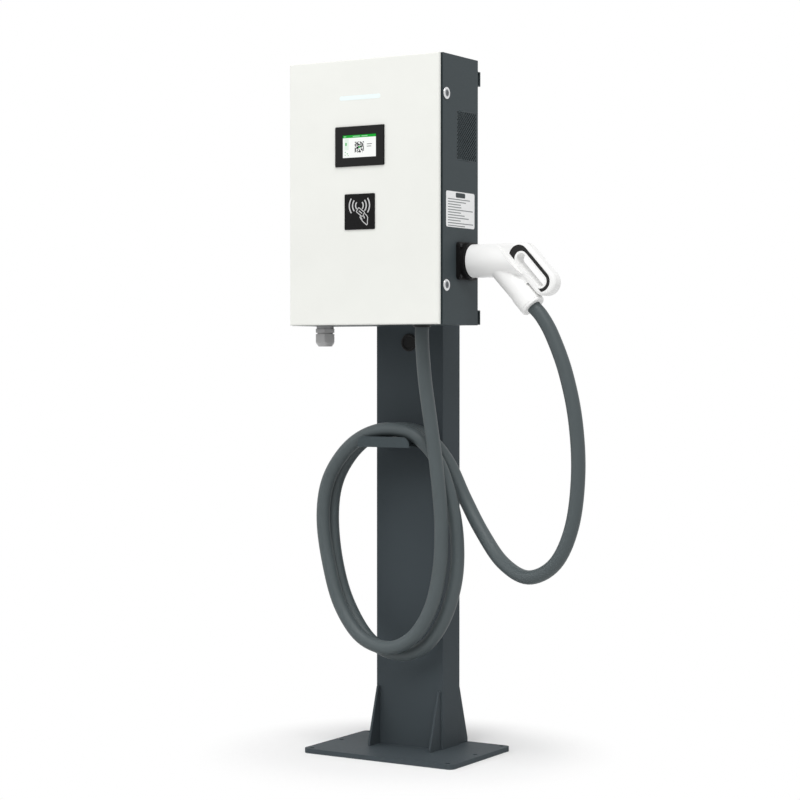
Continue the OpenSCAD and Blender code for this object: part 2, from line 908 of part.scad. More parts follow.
// Perforated plate flush with the casing's side, with a flange that seats inside it
module vent_grille() {
    row_step = vent_pitch * vent_stagger;
    rows = 2 * floor((vent_h - 2 * vent_edge) / row_step / 2);
    cols = floor((vent_w - 2 * vent_edge) / vent_pitch);
    translate([in_side, vent_y, vent_z]) rotate([90, 0, 90]) {
        linear_extrude(sheet) difference() {
            square([vent_w, vent_h], center = true);
            for (i = [0 : rows], j = [0 : cols - i % 2])
                translate([(j - (cols - i % 2) / 2) * vent_pitch, (i - rows / 2) * row_step])
                    circle(d = vent_hole, $fn = 16);
        }
        translate([0, 0, -vent_flange_t]) linear_extrude(vent_flange_t) difference() {
            square([vent_w + 2 * vent_edge, vent_h + 2 * vent_edge], center = true);
            square([vent_w - vent_edge, vent_h - vent_edge], center = true);
        }
    }
}

// Hinge: fixed arms on the rim, leaves on the door and a pin in each pair
module hinge_brackets() {
    arm_x = hinge_x + hinge_arm_in;
    color(zinc)
        for (z = hinge_z)
            difference() {
                translate([0, 0, z - hinge_mid_h / 2]) {
                    translate([hinge_x, hinge_y, 0]) cylinder(r = hinge_r, h = hinge_mid_h);
                    block([hinge_x, hinge_y - hinge_arm_t / 2, 0],
                          [arm_x + hinge_arm_t, hinge_y + hinge_arm_t / 2, hinge_mid_h]);
                    block([arm_x, hinge_y, 0], [arm_x + hinge_arm_t, rim_front, hinge_mid_h]);
                    block([arm_x, rim_front - rim_t, 0], [arm_x + hinge_foot, rim_front, hinge_mid_h]);
                }
                translate([hinge_x, hinge_y, z - hinge_mid_h])
                    cylinder(d = hinge_pin_d + 2 * run_fit, h = 2 * hinge_mid_h);
            }
}

module door_hinge_leaves() {
    half = hinge_mid_h / 2 + hinge_gap + hinge_end_h;
    inner = hinge_mid_h / 2 + hinge_gap;
    leaf_end = seal_in - in_side - 1;
    color(zinc)
        for (z = hinge_z)
            translate([0, 0, z]) difference() {
                union() {
                    for (s = [-half, inner])
                        translate([hinge_x, hinge_y, s]) cylinder(r = hinge_r, h = hinge_end_h);
                    block([hinge_x, door_in, -half], [leaf_end, door_in + leaf_t, half]);
                }
                block([hinge_x - cut, door_in - cut, -inner],
                      [hinge_x + hinge_slot, hinge_y + hinge_r + cut, inner]);
                translate([hinge_x, hinge_y, -half - cut])
                    cylinder(d = hinge_pin_d, h = 2 * half + 2 * cut);
            }
}

module hinge_pins() {
    half = hinge_mid_h / 2 + hinge_gap + hinge_end_h;
    color(chrome)
        for (z = hinge_z)
            translate([hinge_x, hinge_y, z]) {
                translate([0, 0, -half]) cylinder(d = hinge_pin_d, h = 2 * half);
                translate([0, 0, half]) cylinder(r = hinge_r - pin_head_in, h = pin_head_t);
            }
}

// Door: a folded tray with rounded front edges, cut out for what it carries
module door_panel() {
    notch = hinge_mid_h / 2 + hinge_room;
    color(white_paint) difference() {
        door_block(0);
        door_block(door_t);
        for (z = hinge_z)
            block([door_left - cut, cab_front + door_fold, z - notch],
                  [door_left + door_fold + cut, cab_front + door_return + cut, z + notch]);
        front_cut(display_z) square([bezel_body_w, bezel_body_h], center = true);
        front_cut(reader_z) square([reader_box, reader_box], center = true);
        front_cut(light_z) pill(light_l, light_h);
    }
}

// The door's outer form, or its inside when it is set in by the sheet's thickness
module door_block(inset) {
    fold = door_fold - inset;
    w = door_w - 2 * inset;
    h = door_h - 2 * inset;
    depth = door_return - inset + (inset > 0 ? cut : 0);
    intersection() {
        translate([0, cab_front + inset, door_mid_z - h / 2])
            linear_extrude(h) folded_outline(w, depth, fold);
        translate([w / 2, cab_front + inset, door_mid_z]) rotate([0, -90, 0])
            linear_extrude(w) folded_outline(h, depth, fold);
    }
}

module folded_outline(w, depth, fold) {
    translate([-w / 2, fold]) square([w, depth - fold]);
    translate([fold - w / 2, 0]) square([w - 2 * fold, depth]);
    for (x = [-1, 1])
        translate([x * (w / 2 - fold), fold]) circle(fold);
}

module front_cut(z) {
    translate([panel_x, cab_front + door_return, z])
        facing_front() linear_extrude(door_return + cut) children();
}

// Hooks on the door that the lock tongues drop in front of
module door_keepers() {
    color(zinc)
        for (z = lock_z) {
            x0 = keeper_mid_x - keeper_w / 2;
            x1 = keeper_mid_x + keeper_w / 2;
            web_top = z - keeper_web_z;
            block([x0, door_in, web_top - keeper_t], [x1, keeper_hook_y + keeper_hook_t, web_top]);
            block([x0, keeper_hook_y, web_top], [x1, keeper_hook_y + keeper_hook_t, z - keeper_hook_top]);
            block([x0, door_in, web_top - keeper_t - keeper_foot],
                  [x1, door_in + keeper_foot_t, web_top + keeper_foot]);
        }
}

module door_seal() {
    color(rubber) translate([0, door_in + seal_h, door_mid_z])
        facing_front() linear_extrude(seal_h) ring_outline(seal_w, seal_in);
}

// Display: bezel with a window, glass and the board behind it
module display_bezel() {
    color(black_plastic) translate([panel_x, cab_front, display_z]) difference() {
        union() {
            facing_front()
                linear_extrude(bezel_out - bezel_face_t) rounded_rect(bezel_w, bezel_h, bezel_r);
            translate([0, bezel_face_t - bezel_out, 0]) facing_front()
                linear_extrude(bezel_face_t) rounded_rect(bezel_w - bezel_r, bezel_h - bezel_r, bezel_r);
            translate([0, bezel_body_d, 0]) facing_front()
                linear_extrude(bezel_body_d) square([bezel_body_w, bezel_body_h], center = true);
        }
        translate([0, cut, 0]) facing_front()
            linear_extrude(bezel_out + 2 * cut) square([screen_w, screen_h], center = true);
        translate([0, bezel_body_d + cut, 0]) facing_front()
            linear_extrude(bezel_body_d + cut + bezel_out - bezel_face_t)
                square([glass_w, glass_h], center = true);
        translate([0, bezel_body_d + cut, 0]) facing_front() linear_extrude(bezel_body_d + cut - glass_t)
            square([bezel_body_w - 2 * bezel_wall, bezel_body_h - 2 * bezel_wall], center = true);
    }
}

module display_screen() {
    color("#dfe5e2") translate([panel_x, cab_front + bezel_face_t - bezel_out + glass_t, display_z])
        facing_front() linear_extrude(glass_t) square([glass_w, glass_h], center = true);
}

module display_board() {
    low_y = cab_front + bezel_face_t - bezel_out + glass_t;
    color(green_board) translate([panel_x, low_y, display_z]) {
        for (x = [-1, 1], z = [-1, 1])
            translate([x * (glass_w / 2 - board_post_d), board_post, z * (glass_h / 2 - board_post_d)])
                facing_front() cylinder(d = board_post_d, h = board_post);
        translate([0, board_post + board_t, 0]) facing_front()
            linear_extrude(board_t) square([glass_w, glass_h], center = true);
        chip(0, -glass_h / 4, glass_w / 3, glass_h / 6, board_post + board_t);
        chip(0, glass_h / 5, glass_w / 5, glass_h / 3, board_post + board_t);
    }
}

// A chip on the back of a door board: its middle, its size and the face that it stands on
module chip(x, z, w, h, face_y) {
    block([x - w / 2, face_y, z - h / 2], [x + w / 2, face_y + chip_t, z + h / 2]);
}

// Card reader: face plate with a box behind it that passes through the door
module reader_plate() {
    color(black_plastic) translate([panel_x, cab_front, reader_z]) {
        facing_front() linear_extrude(reader_out) rounded_rect(reader_w, reader_w, reader_r);
        translate([0, reader_box_d, 0]) facing_front() linear_extrude(reader_box_d) difference() {
            square([reader_box, reader_box], center = true);
            square([reader_box - 2 * reader_wall, reader_box - 2 * reader_wall], center = true);
        }
    }
}

module reader_board() {
    side = reader_box - 2 * reader_wall;
    color(green_board) translate([panel_x, cab_front, reader_z]) {
        translate([0, reader_post + board_t, 0]) facing_front()
            linear_extrude(board_t) square([side, side], center = true);
        for (x = [-1, 1])
            translate([x * side / 3, reader_post, 0])
                facing_front() cylinder(d = board_post_d, h = reader_post);
        chip(0, 0, side / 3, side / 4, reader_post + board_t);
    }
}

module light_guide() {
    color("#f3fcfc") translate([panel_x, door_in, light_z]) {
        facing_front() linear_extrude(door_t + light_out) pill(light_l, light_h);
        translate([0, light_flange_t, 0]) facing_front()
            linear_extrude(light_flange_t) pill(light_l + 2 * light_flange, light_h + 2 * light_flange);
    }
}

// Locks: a fixed body and nut in the casing's side, a turning core and its tongue
module lock_bodies() {
    color(chrome)
        for (z = lock_z)
            translate([cab_side, lock_y, z]) along_x() difference() {
                union() {
                    cylinder(d = lock_head_d, h = lock_head_t - lock_bevel);
                    translate([0, 0, lock_head_t - lock_bevel])
                        cylinder(d1 = lock_head_d, d2 = lock_head_d - 3 * lock_bevel, h = lock_bevel);
                    translate([0, 0, -lock_barrel_l]) cylinder(r = lock_barrel_r, h = lock_barrel_l);
                }
                translate([0, 0, -lock_barrel_l - cut])
                    cylinder(r = lock_shaft_r + run_fit, h = lock_barrel_l + lock_head_t + 2 * cut);
                translate([0, 0, lock_head_t - lock_plug_t])
                    cylinder(r = lock_plug_r + run_fit, h = lock_plug_t + cut);
            }
}

module lock_nuts() {
    color(zinc)
        for (z = lock_z)
            translate([in_side - lock_nut_t, lock_y, z]) along_x() difference() {
                hex(lock_nut_af, lock_nut_t);
                translate([0, 0, -cut]) cylinder(r = lock_barrel_r, h = lock_nut_t + 2 * cut);
            }
}

module lock_core_lower() {
    lock_core(lock_z[0]);
}

module lock_core_upper() {
    lock_core(lock_z[1]);
}

// Plug with a key slot, its shaft, and the collar that holds the tongue
module lock_core(z) {
    plug_x = cab_side + lock_head_t - lock_plug_t + run_fit;
    color(zinc) translate([0, lock_y, z]) difference() {
        union() {
            translate([plug_x, 0, 0]) along_x() cylinder(r = lock_plug_r, h = lock_plug_t);
            translate([lock_cam_x - lock_collar_t, 0, 0]) along_x()
                cylinder(r = lock_shaft_r, h = plug_x - lock_cam_x + lock_collar_t);
            translate([lock_cam_x - lock_collar_t, 0, 0]) along_x()
                cylinder(r = lock_shaft_r + lock_collar_w, h = lock_collar_t);
        }
        block([plug_x + lock_plug_t - key_slot_t, -key_slot_w / 2, -key_slot_l / 2],
              [plug_x + lock_plug_t + cut, key_slot_w / 2, key_slot_l / 2]);
    }
}

module lock_cam_lower() {
    lock_cam(lock_z[0]);
}

module lock_cam_upper() {
    lock_cam(lock_z[1]);
}

// The tongue points to the front while the lock is open
module lock_cam(z) {
    color(zinc) translate([lock_cam_x, lock_y, z]) difference() {
        union() {
            along_x() cylinder(r = lock_cam_hub, h = lock_cam_t);
            block([0, -lock_tongue, -lock_cam_w / 2], [lock_cam_t, 0, lock_cam_w / 2]);
        }
        translate([-cut, 0, 0]) along_x() cylinder(r = lock_shaft_r, h = lock_cam_t + 2 * cut);
    }
}

// Holster: flange, collar and a cup for the connector's nose
module holster() {
    cup_end = mouth_x - nose_l - cup_room;
    color(black_plastic) translate([0, gun_y, gun_z]) difference() {
        union() {
            translate([cab_side, 0, 0]) rotate([90, 0, 90])
                linear_extrude(holster_t) rounded_rect(holster_w, holster_w, holster_r);
            translate([holster_face, 0, 0]) along_x() cylinder(r = collar_r, h = collar_l);
            translate([cup_end - socket_wall, 0, 0]) along_x()
                cylinder(r = socket_r + socket_wall, h = cab_side - cup_end + socket_wall);
        }
        translate([cup_end, 0, 0]) along_x() cylinder(r = socket_r, h = mouth_x - cup_end);
        translate([0, -gun_y, -gun_z]) holster_screw_places()
            translate([0, 0, -holster_t - cut]) cylinder(d = holster_screw_d, h = holster_t + 2 * cut);
    }
}

// The flange's four corner screws, each place pointing out of the flange's face
module holster_screw_places() {
    reach = holster_w / 2 - holster_screw_in;
    for (y = [-1, 1], z = [-1, 1])
        translate([holster_face, gun_y + y * reach, gun_z + z * reach]) along_x() children();
}

module holster_screws() {
    color(blacked_steel) holster_screw_places() {
        cylinder(d = screw_head_d, h = screw_head_t);
        translate([0, 0, -holster_t - sheet - screw_tail])
            cylinder(d = holster_screw_d, h = holster_t + sheet + screw_tail);
    }
}

// What the cabinet holds, on a plate in front of its back
module component_plate() {
    color(zinc) {
        block([-plate_w / 2, plate_y, in_low + plate_in],
              [plate_w / 2, plate_y + plate_t, in_high - plate_in]);
        for (x = [-1, 1], z = [in_low + 2 * plate_in, in_high - 2 * plate_in])
            translate([x * (plate_w / 2 - plate_in), in_back, z])
                facing_front() cylinder(d = standoff_d, h = plate_gap);
    }
}

module power_module() {
    front = plate_y - module_d;
    color("#b4b8ba") {
        block([-module_w / 2, front, vent_z - module_h / 2],
              [module_w / 2, plate_y, vent_z + module_h / 2]);
        for (i = [0 : fin_count - 1])
            translate([0, front, vent_z + (i - (fin_count - 1) / 2) * fin_step])
                block([-module_w / 2, -fin_h, -fin_t / 2], [module_w / 2, 0, fin_t / 2]);
    }
}

module fan_frame() {
    back = fan_out - fan_t;
    color(black_plastic) translate([0, vent_y, vent_z]) {
        difference() {
            translate([back, 0, 0]) rotate([90, 0, 90])
                linear_extrude(fan_t) rounded_rect(fan_w, fan_w, fan_r);
            translate([back - cut, 0, 0]) along_x() cylinder(r = fan_bore_r, h = fan_t + 2 * cut);
        }
        difference() {
            translate([back, 0, 0]) along_x() cylinder(r = fan_motor_r, h = fan_motor_t);
            translate([back - cut, 0, 0]) along_x()
                cylinder(r = fan_axle_r + run_fit, h = fan_motor_t + 2 * cut);
        }
        for (a = [0 : 3])
            rotate([90 * a, 0, 0]) block([back, fan_motor_r - cut, -spoke_w / 2],
                                         [back + fan_spoke_t, fan_bore_r + cut / 2, spoke_w / 2]);
    }
}

// Blades are flat plates set at an angle, trimmed to the ring
module fan_rotor() {
    back = fan_out - fan_t;
    low = back + fan_motor_t + fan_gap;
    deep = fan_t - fan_motor_t - 3 * fan_gap;
    color("#2b2b2b") translate([0, vent_y, vent_z]) {
        translate([low, 0, 0]) along_x() cylinder(r = fan_hub_r, h = deep);
        translate([back + fan_gap, 0, 0]) along_x() cylinder(r = fan_axle_r, h = fan_motor_t + fan_gap);
        intersection() {
            translate([low, 0, 0]) along_x() cylinder(r = fan_tip_r, h = deep);
            for (i = [0 : fan_blades - 1])
                rotate([360 * i / fan_blades, 0, 0]) translate([low + deep / 2, 0, fan_hub_r - cut])
                    rotate([0, 0, blade_tilt]) translate([-blade_l / 2, -blade_t / 2, 0])
                        cube([blade_l, blade_t, fan_tip_r]);
        }
    }
}

module control_board() {
    face = -board_lift - board_t;
    color(green_board) translate([board_x, plate_y, board_z]) {
        for (x = [standoff_in, board_w - standoff_in], z = [standoff_in, board_h - standoff_in])
            translate([x, 0, z]) facing_front() cylinder(d = board_post_w, h = board_lift);
        block([0, face, 0], [board_w, -board_lift, board_h]);
        for (p = board_parts)
            block([p[0], face - p[4], p[1]], [p[0] + p[2], face, p[1] + p[3]]);
        for (i = [0 : 3])
            translate([capacitor_x + i * capacitor_step, face, capacitor_z])
                facing_front() cylinder(d = capacitor_d, h = capacitor_h);
    }
}

// Top-hat rail: a web on the plate, two sides and two outward flanges
module din_rail() {
    side_z = din_web / 2 - din_t;
    color(zinc) translate([-din_l / 2, plate_y, din_z]) profile_x(din_l) {
        translate([-din_t, -din_web / 2]) square([din_t, din_web]);
        for (s = [0, 1])
            mirror([0, s]) {
                translate([-din_d, side_z]) square([din_d, din_t]);
                translate([-din_d, side_z]) square([din_t, din_w / 2 - side_z]);
            }
    }
}

// Rows of screw wells above and below the nose of a device on the rail
module terminal_wells(x, w, count) {
    for (i = [0 : count - 1], s = [-1, 1])
        translate([x + (i + 0.5) * w / count, din_front - device_d, din_z + s * terminal_up])
            translate([0, terminal_deep, 0])
                facing_front() cylinder(d = terminal_d, h = terminal_deep + cut);
}

// Rail-mounted devices share a stepped outline with a raised nose
module rail_device(x, w, nose) {
    translate([x, din_front, din_z]) profile_x(w) {
        translate([-device_d, -device_h / 2]) square([device_d, device_h]);
        translate([-nose, -nose_h / 2]) square([nose, nose_h]);
    }
}

module breaker_body() {
    mid_x = breaker_x + breaker_w / 2;
    color("#d9dadb") difference() {
        rail_device(breaker_x, breaker_w, breaker_nose);
        translate([mid_x, lever_y, din_z]) {
            block([-lever_w / 2 - lever_side, -lever_in - cut, -lever_slot / 2],
                  [lever_w / 2 + lever_side, lever_hub_r + lever_side, lever_slot / 2]);
            translate([-lever_w / 2 - lever_pin_l - lever_side, 0, 0]) along_x()
                cylinder(r = lever_pin_r + run_fit, h = lever_w + 2 * lever_pin_l + 2 * lever_side);
        }
        terminal_wells(breaker_x, breaker_w, 4);
    }
}

// The lever is drawn up, and is thrown down to switch off
module breaker_lever() {
    mid_x = breaker_x + breaker_w / 2;
    color(black_plastic) translate([mid_x, lever_y, din_z]) {
        translate([-lever_w / 2, 0, 0]) along_x() cylinder(r = lever_hub_r, h = lever_w);
        translate([-lever_w / 2 - lever_pin_l, 0, 0]) along_x()
            cylinder(r = lever_pin_r, h = lever_w + 2 * lever_pin_l);
        rotate([-lever_tilt, 0, 0])
            block([-lever_w / 2, -lever_l, -lever_tab_t / 2], [lever_w / 2, 0, lever_tab_t / 2]);
    }
}

module contactor() {
    color("#3a3d40") difference() {
        union() {
            rail_device(contactor_x, contactor_w, contactor_nose);
            translate([contactor_x, din_front - contactor_nose, din_z])
                block([contactor_in, -contactor_in, -contactor_in],
                      [contactor_w - contactor_in, 0, contactor_in]);
        }
        terminal_wells(contactor_x, contactor_w, 3);
    }
}

module energy_meter() {
    color("#e3e4e2") difference() {
        rail_device(meter_x, meter_w, meter_nose);
        translate([meter_x, din_front - meter_nose, din_z])
            block([meter_edge, -cut, -meter_window / 2],
                  [meter_w - meter_edge, meter_deep, meter_window / 2]);
    }
}

module aux_supply() {
    color("#c2c5c7") difference() {
        block([supply_x, din_front - supply_d, din_z - supply_h / 2],
              [supply_x + supply_w, din_front, din_z + supply_h / 2]);
        for (i = [0 : slit_count - 1])
            translate([0, 0, din_z + (i - (slit_count - 1) / 2) * slit_step])
                block([supply_x + slit_in, din_front - supply_d - cut, -slit_h / 2],
                      [supply_x + supply_w - slit_in, din_front - supply_d + slit_deep, slit_h / 2]);
    }
}

module terminal_block() {
    half = terminal_h / 2;
    neck = terminal_neck / 2;
    tip = terminal_tip / 2;
    color("#2f5f8a") difference() {
        translate([terminal_x, plate_y, terminal_z]) profile_x(5 * terminal_step) polygon([
            [0, -half], [-terminal_base, -half], [-terminal_base, -neck], [-terminal_nose, -tip],
            [-terminal_nose, tip], [-terminal_base, neck], [-terminal_base, half], [0, half]
        ]);
        for (i = [0 : 4])
            translate([terminal_x + (i + 0.5) * terminal_step, plate_y - terminal_base, terminal_z])
                facing_front() cylinder(d = terminal_d, h = terminal_nose - terminal_base + cut);
    }
}

// Cable gland for the supply, below the cabinet's floor
module gland_body() {
    ring_top = cab_z - gland_neck_h;
    ring_low = ring_top - gland_ring_h;
    neck_low = ring_low - gland_gap_h - gland_cap_h / 2;
    color(grey_plastic) translate([gland_x, gland_y, 0]) difference() {
        union() {
            translate([0, 0, neck_low]) cylinder(r = gland_neck_r, h = cab_z + gland_thread_h - neck_low);
            translate([0, 0, ring_low]) hex(gland_af, gland_ring_h);
            translate([0, 0, ring_top]) cylinder(r = gland_neck_r + gland_shoulder, h = gland_neck_h);
        }
        translate([0, 0, neck_low - cut])
            cylinder(r = gland_bore_r, h = cab_z + gland_thread_h - neck_low + 2 * cut);
    }
}

module gland_locknut() {
    color(grey_plastic) translate([gland_x, gland_y, in_low]) difference() {
        hex(gland_nut_af, gland_nut_t);
        translate([0, 0, -cut]) cylinder(r = gland_neck_r, h = gland_nut_t + 2 * cut);
    }
}

module gland_seal() {
    top = cab_z - gland_neck_h - gland_ring_h - gland_gap_h - gland_seal_gap;
    color(rubber) translate([gland_x, gland_y, gland_cap_low + gland_lip]) difference() {
        cylinder(r = gland_bore_r, h = top - gland_cap_low - gland_lip);
        translate([0, 0, -cut]) cylinder(r = gland_seal_r, h = gland_cap_h + 2 * cut);
    }
}

// Cap nut with a domed end, screwed over the gland's neck
module gland_cap() {
    corner = gland_af / 2;
    color(grey_plastic) translate([gland_x, gland_y, gland_cap_low]) difference() {
        intersection() {
            hex(gland_af, gland_cap_h);
            rotate_extrude() polygon([
                [0, 0], [corner - 2 * gland_round, 0], [corner - gland_round / 2, gland_dome],
                [corner + gland_round, 2 * gland_dome], [corner + gland_round, gland_cap_h],
                [0, gland_cap_h]
            ]);
        }
        translate([0, 0, -cut]) cylinder(r = gland_bore_r - gland_hold, h = gland_cap_h + 2 * cut);
        translate([0, 0, gland_lip]) cylinder(r = gland_bore_r, h = gland_cap_h);
        translate([0, 0, gland_cap_h / 2]) cylinder(r = gland_neck_r, h = gland_cap_h);
    }
}

// Bush that holds the charging cable where it leaves the cabinet
module cable_bush() {
    color(black_plastic) translate([bush_x, bush_y, cab_z]) {
        translate([0, 0, -bush_t]) cylinder(r1 = bush_r - bush_taper, r2 = bush_r, h = bush_t);
        cylinder(r = bush_neck_r, h = sheet);
        translate([0, 0, sheet]) cylinder(r = bush_r, h = bush_t);
    }
}

module cable_lead() {
    color("#50585a") cable_tube(0, loops_first);
}

module cable_loops() {
    color("#50585a") cable_tube(loops_first, loops_last);
}

module cable_tail() {
    color("#50585a") cable_tube(loops_last, route_last);
}

// Connector: barrel, cable sleeve and a loop handle moulded in one shell
module gun_shell() {
    top = grip_point(grip_high, grip_off);
    color(white_paint) difference() {
        union() {
            gun_barrel();
            in_grip() translate([sleeve_start, 0, sleeve_off]) along_x()
                cylinder(r1 = sleeve_r1, r2 = sleeve_r2, h = sleeve_end - sleeve_start);
            intersection() {
                translate([0, gun_y, top[2]])
                    round_slab(mouth_x + barrel_d, top[0], grip_half, grip_t + head_extra, grip_edge);
                in_grip() block([-grip_reach, -grip_t, head_cut], [grip_reach, grip_t, grip_reach]);
            }
            in_grip() translate([0, 0, grip_off])
                round_slab(grip_high, grip_low, grip_half, grip_t, grip_edge);
            in_grip() block([sleeve_start, web_in - grip_t / 2, sleeve_off],
                            [sleeve_end - web_in, grip_t / 2 - web_in, slot_off - slot_half]);
        }
        in_grip() translate([0, 0, slot_off]) plain_slab(slot_high, slot_low, slot_half, 2 * grip_t);
        for (s = [-1, 1])
            gun_grip_form(s, 2 * liner_deep);
        translate([mouth_x - cut, gun_y, gun_z]) along_x() cylinder(d = nose_d, h = nose_root + cut);
        button_place() translate([0, 0, button_low - button_travel - loose_fit])
            cylinder(r = button_r + loose_fit, h = button_deep);
    }
}

// The barrel ends on a slope, where the handle's faces begin
module gun_barrel() {
    intersection() {
        translate([mouth_x, gun_y, gun_z]) along_x() {
            cylinder(r1 = barrel_d / 2 - mouth_bevel, r2 = barrel_d / 2, h = mouth_bevel);
            translate([0, 0, mouth_bevel]) cylinder(d = barrel_d, h = grip_reach);
        }
        in_grip() block([-2 * grip_reach, -barrel_d, -2 * grip_reach], [grip_reach, barrel_d, barrel_cut]);
    }
}

// Soft inlays in both faces of the handle, round the far side of the finger slot and wider at its top
module gun_grip() {
    color(black_plastic)
        for (s = [-1, 1])
            gun_grip_form(s, liner_deep + liner_out);
}

// One inlay: the side it lies on, and its thickness from the bottom of its recess
module gun_grip_form(side, thick) {
    face = grip_t / 2 - liner_deep;
    wide = slot_half + liner_rim + liner_t;
    in_grip() translate([0, side > 0 ? face : -face - thick, slot_off]) difference() {
        intersection() {
            translate([0, thick / 2, 0]) plain_slab(slot_high - liner_top, slot_low, wide, thick);
            block([slot_high - wide - liner_top, 0, -liner_from], [slot_low + wide, thick, wide]);
        }
        translate([0, thick / 2, 0])
            plain_slab(slot_high, slot_low, slot_half + liner_rim, thick + 2 * cut);
    }
}

// Nose of the connector with its contact chambers
module gun_nose() {
    tip = mouth_x - nose_l;
    color(black_plastic) translate([0, gun_y, gun_z]) difference() {
        union() {
            translate([tip, 0, 0]) along_x()
                cylinder(r1 = nose_d / 2 - nose_bevel, r2 = nose_d / 2, h = nose_bevel);
            translate([tip + nose_bevel, 0, 0]) along_x()
                cylinder(d = nose_d, h = nose_l - nose_bevel + nose_root);
        }
        translate([tip - cut, 0, 0]) along_x() difference() {
            cylinder(d = nose_d - 2 * nose_wall, h = nose_recess + cut);
            contact_places() cylinder(r = $contact_r + contact_wall, h = nose_recess + cut);
        }
        translate([tip - cut, 0, 0]) along_x()
            contact_places() cylinder(r = $contact_r, h = nose_l);
    }
}

module contact_places() {
    for (s = [-1, 1]) {
        $contact_r = power_pin_r;
        translate([-power_pin_low, s * power_pin_side, 0]) children();
    }
    for (p = [[signal_up, 0], [-signal_low, 0],
              [signal_corner_up, signal_corner_side], [signal_corner_up, -signal_corner_side]]) {
        $contact_r = signal_pin_r;
        translate([p[0], p[1], 0]) children();
    }
}

module gun_contacts() {
    color("#c9a657") translate([mouth_x - nose_l + nose_recess, gun_y, gun_z]) along_x()
        contact_places() cylinder(r = $contact_r, h = nose_l - nose_recess - cut);
}

module gun_nut() {
    color(white_paint) in_grip() translate([sleeve_end, 0, sleeve_off]) along_x() {
        cylinder(r = nut_r - nut_groove, h = nut_l - nut_bevel);
        translate([0, 0, nut_neck]) cylinder(r = nut_r, h = nut_l - 2 * nut_neck - nut_lip);
        translate([0, 0, nut_l - nut_lip]) cylinder(r = nut_r, h = nut_lip - nut_bevel);
        translate([0, 0, nut_l - nut_bevel])
            cylinder(r1 = nut_r, r2 = nut_r - nut_bevel, h = nut_bevel);
    }
}

// Thumb button of the latch, in the upper end of the handle
module button_place() {
    translate(grip_point(grip_high, grip_off)) rotate([0, 90 - button_angle, 0]) children();
}

module gun_button() {
    color(white_paint) button_place() translate([0, 0, button_low]) {
        cylinder(r = button_r, h = button_h);
        translate([0, 0, button_h])
            cylinder(r1 = button_r, r2 = button_r - button_bevel, h = button_bevel);
    }
}

base_plate();
post_column();
post_gussets();
post_cap();
post_grommet();
cable_hook();
post_brackets();
mounting_rails();
frame_bolts();
casing();
casing_back();
casing_rim();
vent_grille_right();
vent_grille_left();
hinge_brackets();
lock_bodies();
lock_nuts();
holster();
holster_screws();
component_plate();
power_module();
fan_frame();
control_board();
din_rail();
breaker_body();
contactor();
energy_meter();
aux_supply();
terminal_block();
gland_body();
gland_locknut();
gland_seal();
gland_cap();
cable_bush();
cable_lead();
cable_loops();
door_panel();
door_hinge_leaves();
hinge_pins();
door_keepers();
door_seal();
display_bezel();
display_screen();
display_board();
reader_plate();
reader_board();
light_guide();
lock_core_upper();
lock_cam_upper();
lock_core_lower();
lock_cam_lower();
fan_rotor();
breaker_lever();
gun_shell();
gun_grip();
gun_nose();
gun_contacts();
gun_nut();
gun_button();
cable_tail();
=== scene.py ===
"""Looks of a floor-standing EV charging post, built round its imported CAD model."""

import json
import math

import bmesh
import bpy
from bpy.props import FloatProperty, FloatVectorProperty, IntProperty, PointerProperty
from mathutils import Matrix, Vector


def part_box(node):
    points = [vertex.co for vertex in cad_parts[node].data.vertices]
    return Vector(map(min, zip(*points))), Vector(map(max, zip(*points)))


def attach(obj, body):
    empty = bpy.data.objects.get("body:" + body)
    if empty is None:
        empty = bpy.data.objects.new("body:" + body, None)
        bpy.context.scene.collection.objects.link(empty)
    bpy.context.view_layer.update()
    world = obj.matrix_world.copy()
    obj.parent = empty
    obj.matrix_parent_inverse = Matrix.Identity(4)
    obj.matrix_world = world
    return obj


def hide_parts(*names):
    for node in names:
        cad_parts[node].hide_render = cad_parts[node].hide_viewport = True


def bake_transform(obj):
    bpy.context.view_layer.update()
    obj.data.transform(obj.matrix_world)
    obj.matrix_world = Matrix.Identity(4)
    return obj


bl_info = {
    "name": "EV Charging Post",
    "version": (1, 0, 0),
    "blender": (4, 5, 0),
    "location": "View3D > Sidebar > Charging Post",
    "description": "Dresses the charging post: cable, connector, coated steel, screen and studio",
    "category": "Object",
}

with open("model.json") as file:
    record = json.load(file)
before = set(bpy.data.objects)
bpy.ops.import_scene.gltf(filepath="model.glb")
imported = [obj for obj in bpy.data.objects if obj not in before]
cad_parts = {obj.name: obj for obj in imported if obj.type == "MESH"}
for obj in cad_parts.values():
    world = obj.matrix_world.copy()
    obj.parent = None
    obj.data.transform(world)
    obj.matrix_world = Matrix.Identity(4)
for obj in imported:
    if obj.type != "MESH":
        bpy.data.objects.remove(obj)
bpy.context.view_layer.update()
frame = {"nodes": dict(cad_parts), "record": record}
MM = 0.001
# Points of a CAD mesh closer than this are one point, in metres
WELD = 2e-6
# Faces that turn by less than this lie flat with each other
FLAT = math.radians(0.05)
# Edges that turn by more than this are rounded off
CREASE = math.radians(28)
# Edges that turn by more than this stay sharp in the shading
SHARP = math.radians(50)
# Width of the camera's sensor, in mm
SENSOR = 36

# The body that each CAD node rides on, and its material slot
BODY_OF = {n: b for b, nodes in frame["record"]["behaviour"]["bodies"].items() for n in nodes}
SLOT_OF = {p["node"]: p["material_slot"] for p in frame["record"]["subparts"]}

